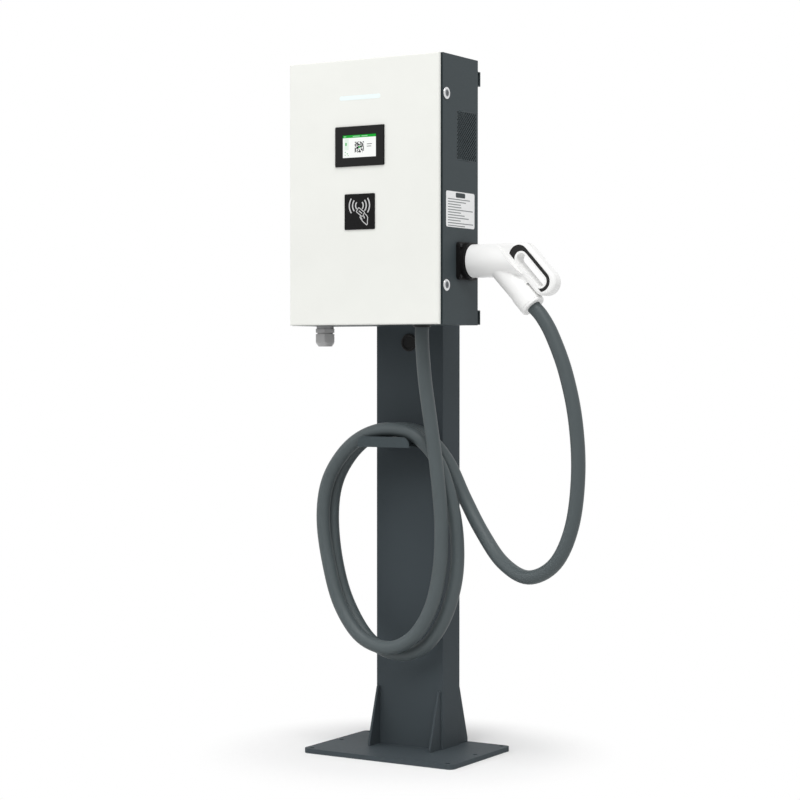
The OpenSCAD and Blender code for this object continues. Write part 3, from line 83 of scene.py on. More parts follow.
# The finish that each of the record's material slots gets
FINISH_OF_SLOT = {
    "column_paint": "powder_coat_column",
    "casing_paint": "powder_coat_cabinet",
    "door_paint": "powder_coat_door",
    "black_plastic": "abs_black",
    "reader_plastic": "acrylic_black",
    "grip_rubber": "tpe_grip",
    "seal_rubber": "epdm_rubber",
    "zinc_steel": "zinc_plated_steel",
    "chromed_zinc": "chromed_die_casting",
    "blacked_steel": "black_zinc_flake",
    "grey_nylon": "nylon_grey",
    "white_plastic": "asa_white",
    "device_plastic": "polyamide_pale",
    "heatsink": "extruded_aluminium",
    "circuit_board": "solder_resist",
    "screen_glass": "cover_glass",
    "light_plastic": "opal_acrylic",
    "contact_brass": "turned_brass",
    "cable_jacket": "tpu_jacket",
}

# Centre line of the charging cable in mm, from the bush round the hook to the connector's nut
ROUTE = (
    (112, -115, 1057.5), (112, -115, 1023.5), (119, -113, 930), (132, -109, 830),
    (146, -104, 720), (155, -100, 620), (156, -98, 550), (149, -95, 470),
    (125, -93, 380), (76, -91, 306), (5, -90, 271), (-78, -90, 292),
    (-140, -90, 368), (-174, -90, 470), (-191, -90, 580), (-178, -90, 672),
    (-132, -90, 745), (-70, -90, 791), (5, -90, 809), (76, -84, 792),
    (128, -68, 732), (160, -57, 635), (174, -52, 535), (167, -50, 435),
    (132, -50, 338), (75, -50, 271), (0, -50, 251), (-80, -50, 283),
    (-144, -50, 372), (-178, -50, 475), (-190, -50, 585), (-176, -50, 674),
    (-130, -50, 746), (-70, -48, 791), (5, -42, 808), (72, -33, 793),
    (128, -20, 731), (174, -14, 640), (228, -24, 560), (298, -48, 492),
    (380, -72, 463), (457, -84, 500), (502, -86, 590), (518, -86, 715),
    (510, -86, 840), (484, -85, 950), (450, -85, 1034),
    (423.24, -85, 1078.65), (400.31, -85, 1103.68),
)


def linear(hex_colour):
    """An sRGB hex value as linear red, green, blue and 1."""
    parts = [int(hex_colour[i:i + 2], 16) / 255 for i in (1, 3, 5)]
    return tuple(c / 12.92 if c <= 0.04045 else ((c + 0.055) / 1.055) ** 2.4 for c in parts) + (1.0,)


def add(tree, kind, inputs=None, **settings):
    """Adds a node with its settings, and sets or links its inputs."""
    node = tree.nodes.new(kind)
    for key, value in settings.items():
        setattr(node, key, value)
    for key, value in (inputs or {}).items():
        if isinstance(value, bpy.types.NodeSocket):
            tree.links.new(value, node.inputs[key])
        else:
            node.inputs[key].default_value = value
    return node


def colour_prop(name, what, default):
    """A colour of the panel, given as an sRGB hex value."""
    return FloatVectorProperty(name=name, description=what, subtype="COLOR", size=4, min=0, max=1,
                               default=linear(default))


class ChargerColours(bpy.types.PropertyGroup):
    """Colours of the post's finishes."""

    column: colour_prop("Column", "Powder coat of the base, column and stiffeners", "#3F464A")
    cabinet: colour_prop("Cabinet", "Powder coat of the casing, rails and hook", "#3E4649")
    door: colour_prop("Door", "Powder coat of the door", "#EBECE7")
    connector: colour_prop("Connector", "Moulded shell of the connector", "#F4F4F3")
    cable: colour_prop("Cable", "Sheath of the charging cable", "#485052")
    header: colour_prop("Screen header", "Bar along the top of the screen", "#00A42B")
    light: colour_prop("Status light", "Lit bar above the screen", "#F0FBFB")


class ChargerSizes(bpy.types.PropertyGroup):
    """Sizes of the pieces and the stage."""

    lens: FloatProperty(name="Lens", description="Focal length of the camera, in millimetres",
                        default=93.39, min=20, max=300)
    azimuth: FloatProperty(name="Azimuth", description="Camera's turn round the post from its front",
                           default=math.radians(31.44), subtype="ANGLE", unit="ROTATION")
    pitch: FloatProperty(name="Pitch", description="Camera's tilt below level",
                         default=math.radians(1.06), subtype="ANGLE", unit="ROTATION")
    camera_place: FloatVectorProperty(name="Camera place", description="Where the camera stands", size=3,
                                      default=(2.6814, -4.4199, 0.9746), subtype="XYZ", unit="LENGTH")
    cable_diameter: FloatProperty(name="Cable diameter", description="Outside of the cable's sheath",
                                  default=0.034, min=0.01, max=0.06, unit="LENGTH")
    cable_sides: IntProperty(name="Cable sides", description="Flats round the cable",
                             default=36, min=12, max=64)
    label_width: FloatProperty(name="Label width", description="Width of the plate on the cabinet's side",
                               default=0.136, min=0.05, max=0.16, unit="LENGTH")
    label_height: FloatProperty(name="Label height", description="Height of the plate on the cabinet's side",
                                default=0.085, min=0.03, max=0.12, unit="LENGTH")
    code_cells: IntProperty(name="Code cells", description="Cells along one side of the screen's dot pattern",
                            default=15, min=9, max=41)


def colours():
    """The colours set in the panel."""
    return bpy.context.scene.charger_colours


def sizes():
    """The sizes set in the panel."""
    return bpy.context.scene.charger_sizes


def new_finish(name, rough, metal=0.0, specular=0.5):
    """Makes a material; gives its tree, its shader and its object coordinates."""
    material = bpy.data.materials.new(name)
    material.use_nodes = True
    tree = material.node_tree
    tree.nodes.clear()
    shader = add(tree, "ShaderNodeBsdfPrincipled",
                 {"Roughness": rough, "Metallic": metal, "Specular IOR Level": specular})
    add(tree, "ShaderNodeOutputMaterial", {"Surface": shader.outputs["BSDF"]})
    place = add(tree, "ShaderNodeTexCoord").outputs["Object"]
    return tree, shader, place


def drift(tree, shader, place, colour, amount, patch_mm):
    """Lets a colour drift a little, lighter and darker, in soft patches of patch_mm."""
    low = tuple(c * (1 - amount) for c in colour[:3]) + (1.0,)
    high = tuple(min(1.0, c * (1 + amount)) for c in colour[:3]) + (1.0,)
    cloud = add(tree, "ShaderNodeTexNoise", {"Vector": place, "Scale": 1 / (patch_mm * MM), "Detail": 2.0})
    blend = add(tree, "ShaderNodeMix", {0: cloud.outputs["Fac"], 6: low, 7: high}, data_type="RGBA")
    tree.links.new(blend.outputs[2], shader.inputs["Base Color"])


def grain(tree, shader, place, size_mm, depth_mm, rough, spread):
    """Fine relief of size_mm and depth_mm, with the gloss broken up by the same pattern."""
    relief = add(tree, "ShaderNodeTexNoise", {"Vector": place, "Scale": 1 / (size_mm * MM), "Detail": 2.0})
    bump = add(tree, "ShaderNodeBump",
               {"Height": relief.outputs["Fac"], "Strength": 1.0, "Distance": depth_mm * MM})
    gloss = add(tree, "ShaderNodeMapRange", {"Value": relief.outputs["Fac"], "From Min": 0.3, "From Max": 0.7,
                                             "To Min": rough - spread, "To Max": rough + spread})
    tree.links.new(bump.outputs["Normal"], shader.inputs["Normal"])
    tree.links.new(gloss.outputs["Result"], shader.inputs["Roughness"])


def coated_steel(name, colour, peel_mm, rough, specular):
    """Powder coat baked on steel: even colour, a soft broad gloss and a fine orange peel."""
    tree, shader, place = new_finish(name, rough, specular=specular)
    drift(tree, shader, place, colour, 0.025, 90)
    # Real peel is near 1 mm across; it is drawn a little coarser so that it shows
    grain(tree, shader, place, peel_mm, 0.05, rough, 0.05)


def moulded(name, colour, rough, texture_mm, depth_mm, specular=0.5):
    """Moulded plastic: even colour, the tool's spark-eroded texture, a soft gloss."""
    tree, shader, place = new_finish(name, rough, specular=specular)
    drift(tree, shader, place, colour, 0.02, 40)
    grain(tree, shader, place, texture_mm, depth_mm, rough, 0.06)


def rubber(name, colour, rough):
    """Extruded or moulded rubber: nearly black, dull, with a chalky bloom and a fine tooth."""
    tree, shader, place = new_finish(name, rough, specular=0.3)
    drift(tree, shader, place, colour, 0.15, 25)
    grain(tree, shader, place, 0.6, 0.03, rough, 0.08)
    shader.inputs["Sheen Weight"].default_value = 0.08
    shader.inputs["Sheen Roughness"].default_value = 0.5


def plated(name, colour, rough, drawn_mm, spread):
    """Plated or bare metal with faint drawing lines along its length."""
    tree, shader, place = new_finish(name, rough, metal=1.0)
    drift(tree, shader, place, colour, 0.06, 12)
    lines = add(tree, "ShaderNodeMapping", {"Vector": place, "Scale": (0.08, 1.0, 1.0)})
    grain(tree, shader, lines.outputs["Vector"], drawn_mm, 0.008, rough, spread)


def printed(name, colour, rough):
    """Screen-printed ink: flat colour with a slightly uneven film."""
    tree, shader, place = new_finish(name, rough, specular=0.3)
    drift(tree, shader, place, colour, 0.04, 6)
    grain(tree, shader, place, 0.5, 0.008, rough, 0.05)


def lit(name, colour, strength):
    """A lit part of the screen or light bar: it glows evenly behind a smooth face."""
    tree, shader, place = new_finish(name, 0.15, specular=0.2)
    shader.inputs["Base Color"].default_value = tuple(0.05 * c for c in colour[:3]) + (1.0,)
    # Small rows of lamps behind the face leave a barely uneven glow
    cloud = add(tree, "ShaderNodeTexNoise", {"Vector": place, "Scale": 1 / (8 * MM), "Detail": 1.0})
    glow = add(tree, "ShaderNodeMapRange", {"Value": cloud.outputs["Fac"], "To Min": strength * 0.97,
                                            "To Max": strength * 1.03})
    shader.inputs["Emission Color"].default_value = tuple(colour[:3]) + (1.0,)
    tree.links.new(glow.outputs["Result"], shader.inputs["Emission Strength"])


def cable_sheath(name, colour):
    """Thermoplastic polyurethane sheath: satin, drawn smooth with faint lines along its run."""
    rough = 0.5
    tree, shader, place = new_finish(name, rough, specular=0.35)
    drift(tree, shader, place, colour, 0.03, 60)
    # The map's first axis goes round the sheath and its second along it, in metres
    run = add(tree, "ShaderNodeUVMap", uv_map="sheath")
    stretched = add(tree, "ShaderNodeMapping", {"Vector": run.outputs["UV"], "Scale": (1.0, 0.04, 1.0)})
    grain(tree, shader, stretched.outputs["Vector"], 1.2, 0.02, rough, 0.05)


def circuit(name):
    """Solder resist over copper: green, glossy, with paler tracks on a 9 mm grid."""
    tree, shader, place = new_finish(name, 0.35)
    tracks = add(tree, "ShaderNodeTexBrick",
                 {"Vector": place, "Color1": linear("#1C5B36"), "Color2": linear("#246B41"),
                  "Mortar": linear("#3F8A58"), "Scale": 1 / (9 * MM), "Mortar Size": 0.06})
    tree.links.new(tracks.outputs["Color"], shader.inputs["Base Color"])
    bump = add(tree, "ShaderNodeBump",
               {"Height": tracks.outputs["Fac"], "Strength": 1.0, "Distance": 0.05 * MM})
    tree.links.new(bump.outputs["Normal"], shader.inputs["Normal"])


def glass(name):
    """Cover glass over a black mask: deep black with a mirror-like face."""
    tree, shader, place = new_finish(name, 0.06)
    drift(tree, shader, place, linear("#151516"), 0.05, 30)
    # Faint finger smears break up the mirror
    smear = add(tree, "ShaderNodeTexNoise", {"Vector": place, "Scale": 1 / (18 * MM), "Detail": 3.0})
    gloss = add(tree, "ShaderNodeMapRange", {"Value": smear.outputs["Fac"], "To Min": 0.04, "To Max": 0.12})
    tree.links.new(gloss.outputs["Result"], shader.inputs["Roughness"])


def make_finishes():
    """Makes every finish of the post."""
    c = colours()
    # Steel's coats: dullest on the column, smooth and pale on the door
    coated_steel("powder_coat_column", c.column, peel_mm=2.2, rough=0.6, specular=0.1)
    coated_steel("powder_coat_cabinet", c.cabinet, peel_mm=2.0, rough=0.5, specular=0.14)
    coated_steel("powder_coat_door", c.door, peel_mm=2.6, rough=0.36, specular=0.3)
    # Bezel, holster and caps: deep black with a fine dull tooth
    moulded("abs_black", linear("#141414"), rough=0.42, texture_mm=0.7, depth_mm=0.02, specular=0.16)
    # Face of the card reader: a cast sheet, shinier, that waves a little
    moulded("acrylic_black", linear("#151515"), rough=0.2, texture_mm=6.0, depth_mm=0.01, specular=0.1)
    # Supply gland: mid grey with a shine along its flats
    moulded("nylon_grey", linear("#A9A9A9"), rough=0.3, texture_mm=0.9, depth_mm=0.012, specular=0.6)
    # Connector: clean white with a satin shine
    moulded("asa_white", c.connector, rough=0.34, texture_mm=0.8, depth_mm=0.012, specular=0.4)
    # Devices on the rail: pale grey and nearly matt
    moulded("polyamide_pale", linear("#C4C6C4"), rough=0.5, texture_mm=0.8, depth_mm=0.02, specular=0.4)
    # Zinc-flake coat on screws: a dull, nearly black metal coat with a dusty grain
    moulded("black_zinc_flake", linear("#17181A"), rough=0.55, texture_mm=0.5, depth_mm=0.02, specular=0.5)
    # Inlays of the handle, and the seals: soft blacks that hardly shine
    rubber("tpe_grip", linear("#141414"), rough=0.6)
    rubber("epdm_rubber", linear("#121212"), rough=0.7)
    # Sheet and fittings: grey streaked zinc, bright chrome, and duller nickel on the lock cores
    plated("zinc_plated_steel", linear("#B9BCBC"), rough=0.34, drawn_mm=0.6, spread=0.08)
    plated("chromed_die_casting", linear("#D6D7D8"), rough=0.12, drawn_mm=0.8, spread=0.03)
    plated("satin_nickel", linear("#6A6D70"), rough=0.3, drawn_mm=0.6, spread=0.06)
    # Power module's fins and the contacts: bare metal, drawn and turned
    plated("extruded_aluminium", linear("#C2C4C6"), rough=0.38, drawn_mm=0.5, spread=0.08)
    plated("turned_brass", linear("#C9A657"), rough=0.25, drawn_mm=0.5, spread=0.06)
    cable_sheath("tpu_jacket", c.cable)
    circuit("solder_resist")
    glass("cover_glass")
    # Light bar and picture: just below white, so that they read as lit
    lit("opal_acrylic", c.light, strength=0.97)
    lit("screen_white", linear("#FAFCFA"), strength=0.94)
    lit("screen_header", c.header, strength=0.95)
    lit("screen_panel", linear("#E3F4E6"), strength=0.93)
    lit("screen_mark", linear("#2FB552"), strength=0.9)
    lit("screen_dark", linear("#1E2022"), strength=0.8)
    lit("screen_pale", linear("#9AD9A9"), strength=0.9)
    # Print on the reader, and the film of the side plate with its print
    printed("print_grey", linear("#C6C6C6"), rough=0.45)
    printed("label_film", linear("#F3F4F4"), rough=0.4)
    printed("label_dark", linear("#2A3336"), rough=0.45)
    printed("label_rule", linear("#7E8284"), rough=0.5)


def piece(name, mesh, body=None, finish=None, stands_for=()):
    """Puts a mesh in the scene with the finish, body and CAD nodes that are given."""
    obj = bpy.data.objects.new(name, mesh)
    bpy.context.scene.collection.objects.link(obj)
    if finish:
        mesh.materials.append(bpy.data.materials[finish])
    if body:
        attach(obj, body)
    if stands_for:
        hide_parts(*stands_for)
    return obj


def finished(bm, name, sharp=SHARP):
    """Turns working geometry into a mesh that shades smoothly up to its sharp edges."""
    mesh = bpy.data.meshes.new(name)
    bm.to_mesh(mesh)
    bm.free()
    mesh.shade_smooth()
    mesh.set_sharp_from_angle(angle=sharp)
    return mesh


def softened(node, width, segments):
    """A copy of a CAD node's mesh with its edges rounded off by width, in mm, or left as they are at 0."""
    bm = bmesh.new()
    bm.from_mesh(frame["nodes"][node].data)
    bmesh.ops.remove_doubles(bm, verts=bm.verts, dist=WELD)
    if width:
        bmesh.ops.dissolve_limit(bm, angle_limit=FLAT, verts=bm.verts, edges=bm.edges)
        edges = [e for e in bm.edges if len(e.link_faces) == 2 and e.calc_face_angle() > CREASE]
        bmesh.ops.bevel(bm, geom=edges, offset=width * MM, offset_type="OFFSET", segments=segments,
                        profile=0.5, affect="EDGES", clamp_overlap=True)
    return finished(bm, node + "_dressed", SHARP if width else CREASE)


def dress(node, width, segments=2, finish=None):
    """Replaces a CAD node by a copy with softened edges and the finish of its slot."""
    mesh = softened(node, width, segments)
    obj = piece(node + "_dressed", mesh, BODY_OF[node], finish or FINISH_OF_SLOT[SLOT_OF[node]],
                (node,))
    if width:
        even = obj.modifiers.new("even_shading", "WEIGHTED_NORMAL")
        even.keep_sharp = True
    return obj


def tile(bm, x0, x1, y0, y1, z0, z1):
    """Adds a closed block to working geometry, in mm."""
    size = Vector((x1 - x0, y1 - y0, z1 - z0)) * MM
    centre = Vector((x0 + x1, y0 + y1, z0 + z1)) * MM / 2
    bmesh.ops.create_cube(bm, size=1, matrix=Matrix.Translation(centre) @ Matrix.Diagonal((*size, 1)))


def rounded_tile(width, height, radius, steps=6):
    """Outline of a rectangle with round corners, about its centre."""
    points = []
    for turn, (sx, sz) in enumerate(((1, 1), (-1, 1), (-1, -1), (1, -1))):
        for k in range(steps + 1):
            a = math.radians(90 * (turn + k / steps))
            points.append((sx * (width / 2 - radius) + radius * math.cos(a),
                           sz * (height / 2 - radius) + radius * math.sin(a)))
    return points


def slab(bm, outline, place):
    """Adds a closed slab; place turns a point of the outline and a depth of 0 or 1 into a position."""
    front = [bm.verts.new(place(p, 1)) for p in outline]
    back = [bm.verts.new(place(p, 0)) for p in outline]
    bm.faces.new(front)
    bm.faces.new(back[::-1])
    count = len(outline)
    for i in range(count):
        j = (i + 1) % count
        bm.faces.new((front[i], back[i], back[j], front[j]))


def stroke(bm, line, width, closed, place):
    """Adds a flat closed ribbon of a given width along a line."""
    count = len(line)
    sides = ([], [])
    for i, p in enumerate(line):
        a = line[(i - 1) % count] if closed or i else p
        b = line[(i + 1) % count] if closed or i < count - 1 else p
        before, after = Vector(p) - Vector(a), Vector(b) - Vector(p)
        before = (before if before.length else after).normalized()
        after = (after if after.length else before).normalized()
        along = (before + after).normalized()
        reach = width / 2 / max(0.5, along.dot(before))
        across = Vector((-along.y, along.x)) * reach
        sides[0].append(Vector(p) + across)
        sides[1].append(Vector(p) - across)
    for i in range(count if closed else count - 1):
        j = (i + 1) % count
        slab(bm, [sides[0][i], sides[1][i], sides[1][j], sides[0][j]], place)


def outward(bm):
    """Turns every face outwards."""
    bmesh.ops.recalc_face_normals(bm, faces=bm.faces)


def tree_with(name, inputs):
    """An empty geometry tree with named inputs, its input node and its output node."""
    tree = bpy.data.node_groups.new(name, "GeometryNodeTree")
    for label, kind in inputs:
        tree.interface.new_socket(label, in_out="INPUT", socket_type=kind)
    tree.interface.new_socket("Geometry", in_out="OUTPUT", socket_type="NodeSocketGeometry")
    return tree, tree.nodes.new("NodeGroupInput").outputs, tree.nodes.new("NodeGroupOutput").inputs


def grown(tree, values):
    """Runs a geometry tree with the given inputs and returns its result as a plain mesh."""
    obj = bpy.data.objects.new("growing", bpy.data.meshes.new("growing"))
    bpy.context.scene.collection.objects.link(obj)
    modifier = obj.modifiers.new("grow", "NODES")
    modifier.node_group = tree
    for item in tree.interface.items_tree:
        if item.in_out == "INPUT":
            modifier[item.identifier] = values[item.name]
    view = bpy.context.evaluated_depsgraph_get()
    mesh = bpy.data.meshes.new_from_object(obj.evaluated_get(view))
    obj.modifiers.remove(modifier)
    bpy.data.objects.remove(obj)
    return mesh


def dot_code_tree():
    """Square cells kept or dropped at random on a square grid."""
    tree, given, result = tree_with("dot_code", (
        ("Cells", "NodeSocketInt"), ("Cell Size", "NodeSocketFloat"), ("Thickness", "NodeSocketFloat"),
        ("Share", "NodeSocketFloat"), ("Seed", "NodeSocketInt"), ("Finish", "NodeSocketMaterial")))
    steps = add(tree, "ShaderNodeMath", {0: given["Cells"], 1: 1.0}, operation="SUBTRACT")
    side = add(tree, "ShaderNodeMath", {0: steps.outputs[0], 1: given["Cell Size"]}, operation="MULTIPLY")
    grid = add(tree, "GeometryNodeMeshGrid", {"Size X": side.outputs[0], "Size Y": side.outputs[0],
                                              "Vertices X": given["Cells"], "Vertices Y": given["Cells"]})
    keep = add(tree, "FunctionNodeRandomValue", {"Probability": given["Share"], "Seed": given["Seed"]},
               data_type="BOOLEAN")
    size = add(tree, "ShaderNodeCombineXYZ", {"X": given["Cell Size"], "Y": given["Cell Size"],
                                              "Z": given["Thickness"]})
    cell = add(tree, "GeometryNodeMeshCube", {"Size": size.outputs[0]})
    spread = add(tree, "GeometryNodeInstanceOnPoints", {
        "Points": grid.outputs["Mesh"], "Selection": keep.outputs[3], "Instance": cell.outputs["Mesh"]})
    real = add(tree, "GeometryNodeRealizeInstances", {"Geometry": spread.outputs[0]})
    coat = add(tree, "GeometryNodeSetMaterial", {"Geometry": real.outputs[0], "Material": given["Finish"]})
    tree.links.new(coat.outputs[0], result["Geometry"])
    return tree


def rules_tree():
    """Plain bars one under another, flush on the left and of uneven length."""
    tree, given, result = tree_with("printed_rules", (
        ("Rows", "NodeSocketInt"), ("Pitch", "NodeSocketFloat"), ("Shortest", "NodeSocketFloat"),
        ("Longest", "NodeSocketFloat"), ("Height", "NodeSocketFloat"), ("Thickness", "NodeSocketFloat"),
        ("Seed", "NodeSocketInt"), ("Finish", "NodeSocketMaterial")))
    down = add(tree, "ShaderNodeMath", {0: given["Pitch"], 1: -1.0}, operation="MULTIPLY")
    step = add(tree, "ShaderNodeCombineXYZ", {"Y": down.outputs[0]})
    column = add(tree, "GeometryNodeMeshLine", {"Count": given["Rows"], "Offset": step.outputs[0]})
    size = add(tree, "ShaderNodeCombineXYZ", {"X": 1.0, "Y": given["Height"], "Z": given["Thickness"]})
    bar = add(tree, "GeometryNodeMeshCube", {"Size": size.outputs[0]})
    flush = add(tree, "GeometryNodeTransform", {"Geometry": bar.outputs["Mesh"], "Translation": (0.5, 0, 0)})
    length = add(tree, "FunctionNodeRandomValue", {2: given["Shortest"], 3: given["Longest"],
                                                   "Seed": given["Seed"]}, data_type="FLOAT")
    scale = add(tree, "ShaderNodeCombineXYZ", {"X": length.outputs[1], "Y": 1.0, "Z": 1.0})
    spread = add(tree, "GeometryNodeInstanceOnPoints", {
        "Points": column.outputs["Mesh"], "Instance": flush.outputs[0], "Scale": scale.outputs[0]})
    real = add(tree, "GeometryNodeRealizeInstances", {"Geometry": spread.outputs[0]})
    coat = add(tree, "GeometryNodeSetMaterial", {"Geometry": real.outputs[0], "Material": given["Finish"]})
    tree.links.new(coat.outputs[0], result["Geometry"])
    return tree


def on_front(x, y, z):
    """Turns a flat pattern to face the front, with its origin at a point in mm."""
    return Matrix.Translation(Vector((x, y, z)) * MM) @ Matrix.Rotation(math.radians(90), 4, "X")


def on_right(x, y, z):
    """Turns a flat pattern to face the right, with its origin at a point in mm."""
    return Matrix.Translation(Vector((x, y, z)) * MM) @ Matrix.Rotation(math.radians(90), 4, "Z") \
        @ Matrix.Rotation(math.radians(90), 4, "X")


class CHARGER_OT_stage(bpy.types.Operator):
    """Floor, white surround, soft lights and the camera"""

    bl_idname = "charger.stage"
    bl_label = "Stage"
    # Floor: radius of its disc, and from where to where it fades to white, in metres
    floor_radius, fade_from, fade_to = 9.0, 0.24, 0.55
    # Strength of the white surround as a light
    surround_light = 0.58
    # Point that the lamps face, seen from above, in metres
    aim_x, aim_y = 0.05, -0.05

    def execute(self, context):
        scene = context.scene
        scene.view_settings.view_transform = "Standard"
        self.surround(scene)
        self.floor()
        self.lamp("key_softbox", size=3.2, power=168, azimuth=35, elevation=56, distance=5.6)
        self.lamp("left_softbox", size=2.2, power=26, azimuth=-50, elevation=22, distance=4.2)
        # The foot's lamp is gridded, so that it lights the base and leaves the cabinet alone
        self.lamp("foot_softbox", size=0.9, power=0.75, azimuth=12, elevation=40, distance=2.2,
                  aim=0.1, spread=34)
        view = bpy.data.cameras.new("photo_camera")
        view.sensor_width = SENSOR
        view.lens = sizes().lens
        camera = bpy.data.objects.new("photo_camera", view)
        camera.location = sizes().camera_place
        camera.rotation_euler = (math.radians(90) - sizes().pitch, 0, sizes().azimuth)
        scene.collection.objects.link(camera)
        scene.camera = camera
        return {"FINISHED"}

    def surround(self, scene):
        """White to the eye and in reflections, softer as a light."""
        world = bpy.data.worlds.new("studio_surround")
        world.use_nodes = True
        scene.world = world
        tree = world.node_tree
        tree.nodes.clear()
        seen = self.seen(tree)
        soft = add(tree, "ShaderNodeBackground", {"Color": (1, 1, 1, 1), "Strength": self.surround_light})
        white = add(tree, "ShaderNodeBackground", {"Color": (1, 1, 1, 1), "Strength": 1.0})
        both = add(tree, "ShaderNodeMixShader", {0: seen, 1: soft.outputs[0], 2: white.outputs[0]})
        add(tree, "ShaderNodeOutputWorld", {"Surface": both.outputs[0]})

    def seen(self, tree):
        """1 for rays from the camera, from gloss and through glass."""
        path = add(tree, "ShaderNodeLightPath").outputs
        eye = add(tree, "ShaderNodeMath", {0: path["Is Camera Ray"], 1: path["Is Glossy Ray"]},
                  operation="MAXIMUM")
        return add(tree, "ShaderNodeMath", {0: eye.outputs[0], 1: path["Is Transmission Ray"]},
                   operation="MAXIMUM").outputs[0]

    def floor(self):
        """A pale floor that keeps the post's shadow and fades to white away from it."""
        bm = bmesh.new()
        bmesh.ops.create_circle(bm, cap_ends=True, segments=96, radius=self.floor_radius)
        material = bpy.data.materials.new("painted_studio_floor")
        material.use_nodes = True
        tree = material.node_tree
        tree.nodes.clear()
        place = add(tree, "ShaderNodeTexCoord").outputs["Object"]
        far = add(tree, "ShaderNodeVectorMath", {0: place}, operation="LENGTH")
        fade = add(tree, "ShaderNodeMapRange",
                   {"Value": far.outputs["Value"], "From Min": self.fade_from, "From Max": self.fade_to},
                   interpolation_type="SMOOTHSTEP")
        part = add(tree, "ShaderNodeMath", {0: fade.outputs[0], 1: self.seen(tree)}, operation="MULTIPLY")
        pale = add(tree, "ShaderNodeBsdfDiffuse", {"Color": linear("#EFEFEF")})
        white = add(tree, "ShaderNodeEmission", {"Color": (1, 1, 1, 1), "Strength": 1.0})
        both = add(tree, "ShaderNodeMixShader", {0: part.outputs[0], 1: pale.outputs[0], 2: white.outputs[0]})
        add(tree, "ShaderNodeOutputMaterial", {"Surface": both.outputs[0]})
        mesh = bpy.data.meshes.new("studio_floor")
        bm.to_mesh(mesh)
        bm.free()
        mesh.materials.append(material)
        obj = bpy.data.objects.new("studio_floor", mesh)
        bpy.context.scene.collection.objects.link(obj)

    def lamp(self, name, size, power, azimuth, elevation, distance, aim=0.9, spread=180):
        """A square soft light that faces the post at the height aim; a spread under 180 is a grid on it."""
        light = bpy.data.lights.new(name, "AREA")
        light.size = size
        light.energy = power
        light.spread = math.radians(spread)
        a, e = math.radians(azimuth), math.radians(elevation)
        toward = Vector((math.sin(a) * math.cos(e), -math.cos(a) * math.cos(e), math.sin(e)))
        obj = bpy.data.objects.new(name, light)
        obj.location = Vector((self.aim_x, self.aim_y, aim)) + toward * distance
        obj.rotation_euler = toward.to_track_quat("Z", "Y").to_euler()
        bpy.context.scene.collection.objects.link(obj)


def route_point(s):
    """Point of the cable's line at a place counted in route points."""
    last = len(ROUTE) - 1
    i = min(int(s), last - 1)
    at = [Vector(p) for p in ROUTE]
    at = [2 * at[0] - at[1]] + at + [2 * at[last] - at[last - 1]]
    a, b, c, d = at[i:i + 4]
    t = s - i
    return 0.5 * (2 * b + (c - a) * t + (2 * a - 5 * b + 4 * c - d) * t * t
                  + (3 * b - a - 3 * c + d) * t ** 3) * MM


class CHARGER_OT_cable(bpy.types.Operator):
    """The charging cable, from its bush round the hook to the connector"""

    bl_idname = "charger.cable"
    bl_label = "Charging cable"
    # Rings of the sheath from one route point to the next
    rings = 8

    def execute(self, context):
        spans = (len(ROUTE) - 1) * self.rings
        line = [route_point(i / self.rings) for i in range(spans + 1)]
        mesh, length = self.tube(line)
        cable = piece("charging_cable", mesh, finish="tpu_jacket")
        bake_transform(cable)
        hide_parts("cable_lead", "cable_loops", "cable_tail")
        return {"FINISHED"}

    def tube(self, line):
        """A closed tube along the line, with a map round and along it."""
        radius, count = sizes().cable_diameter / 2, sizes().cable_sides
        bm = bmesh.new()
        side = Vector((0, 1, 0))
        rings, runs, run = [], [], 0.0
        for i, p in enumerate(line):
            along = (line[min(i + 1, len(line) - 1)] - line[max(i - 1, 0)]).normalized()
            side = (side - along * side.dot(along)).normalized()
            up = along.cross(side)
            run += (p - line[i - 1]).length if i else 0.0
            runs.append(run)
            turns = [2 * math.pi * k / count for k in range(count)]
            rings.append([bm.verts.new(p + radius * (math.cos(a) * side + math.sin(a) * up)) for a in turns])
        layer = bm.loops.layers.uv.new("sheath")
        for i in range(len(rings) - 1):
            for k in range(count):
                n = (k + 1) % count
                face = bm.faces.new((rings[i][k], rings[i][n], rings[i + 1][n], rings[i + 1][k]))
                for loop, (turn, place) in zip(face.loops, ((k, i), (k + 1, i), (k + 1, i + 1), (k, i + 1))):
                    loop[layer].uv = (2 * math.pi * radius * turn / count, runs[place])
        bm.faces.new(rings[0][::-1])
        bm.faces.new(rings[-1])
        outward(bm)
        return finished(bm, "charging_cable"), run


class CHARGER_OT_connector(bpy.types.Operator):
    """The hand-held connector: shell, grip, nut, nose, contacts and button"""

    bl_idname = "charger.connector"
    bl_label = "Connector"

    def execute(self, context):
        for node, width, segments in (("gun_shell", 0.8, 2), ("gun_grip", 0.8, 3), ("gun_nut", 0.9, 3),
                                      ("gun_nose", 0.4, 2), ("gun_contacts", 0.5, 2), ("gun_button", 0.6, 3)):
            dress(node, width, segments)
        return {"FINISHED"}


class CHARGER_OT_steelwork(bpy.types.Operator):
    """Base, column, stiffeners, hook and the channels that carry the cabinet"""

    bl_idname = "charger.steelwork"
    bl_label = "Base and column"

    def execute(self, context):
        for node, width in (("base_plate", 1.0), ("post_column", 0.6), ("post_gussets", 0.8),
                            ("post_cap", 1.0), ("post_grommet", 0.5), ("cable_hook", 0.7),
                            ("post_brackets", 0.4), ("mounting_rails", 0.5), ("frame_bolts", 0.3)):
            dress(node, width)
        return {"FINISHED"}


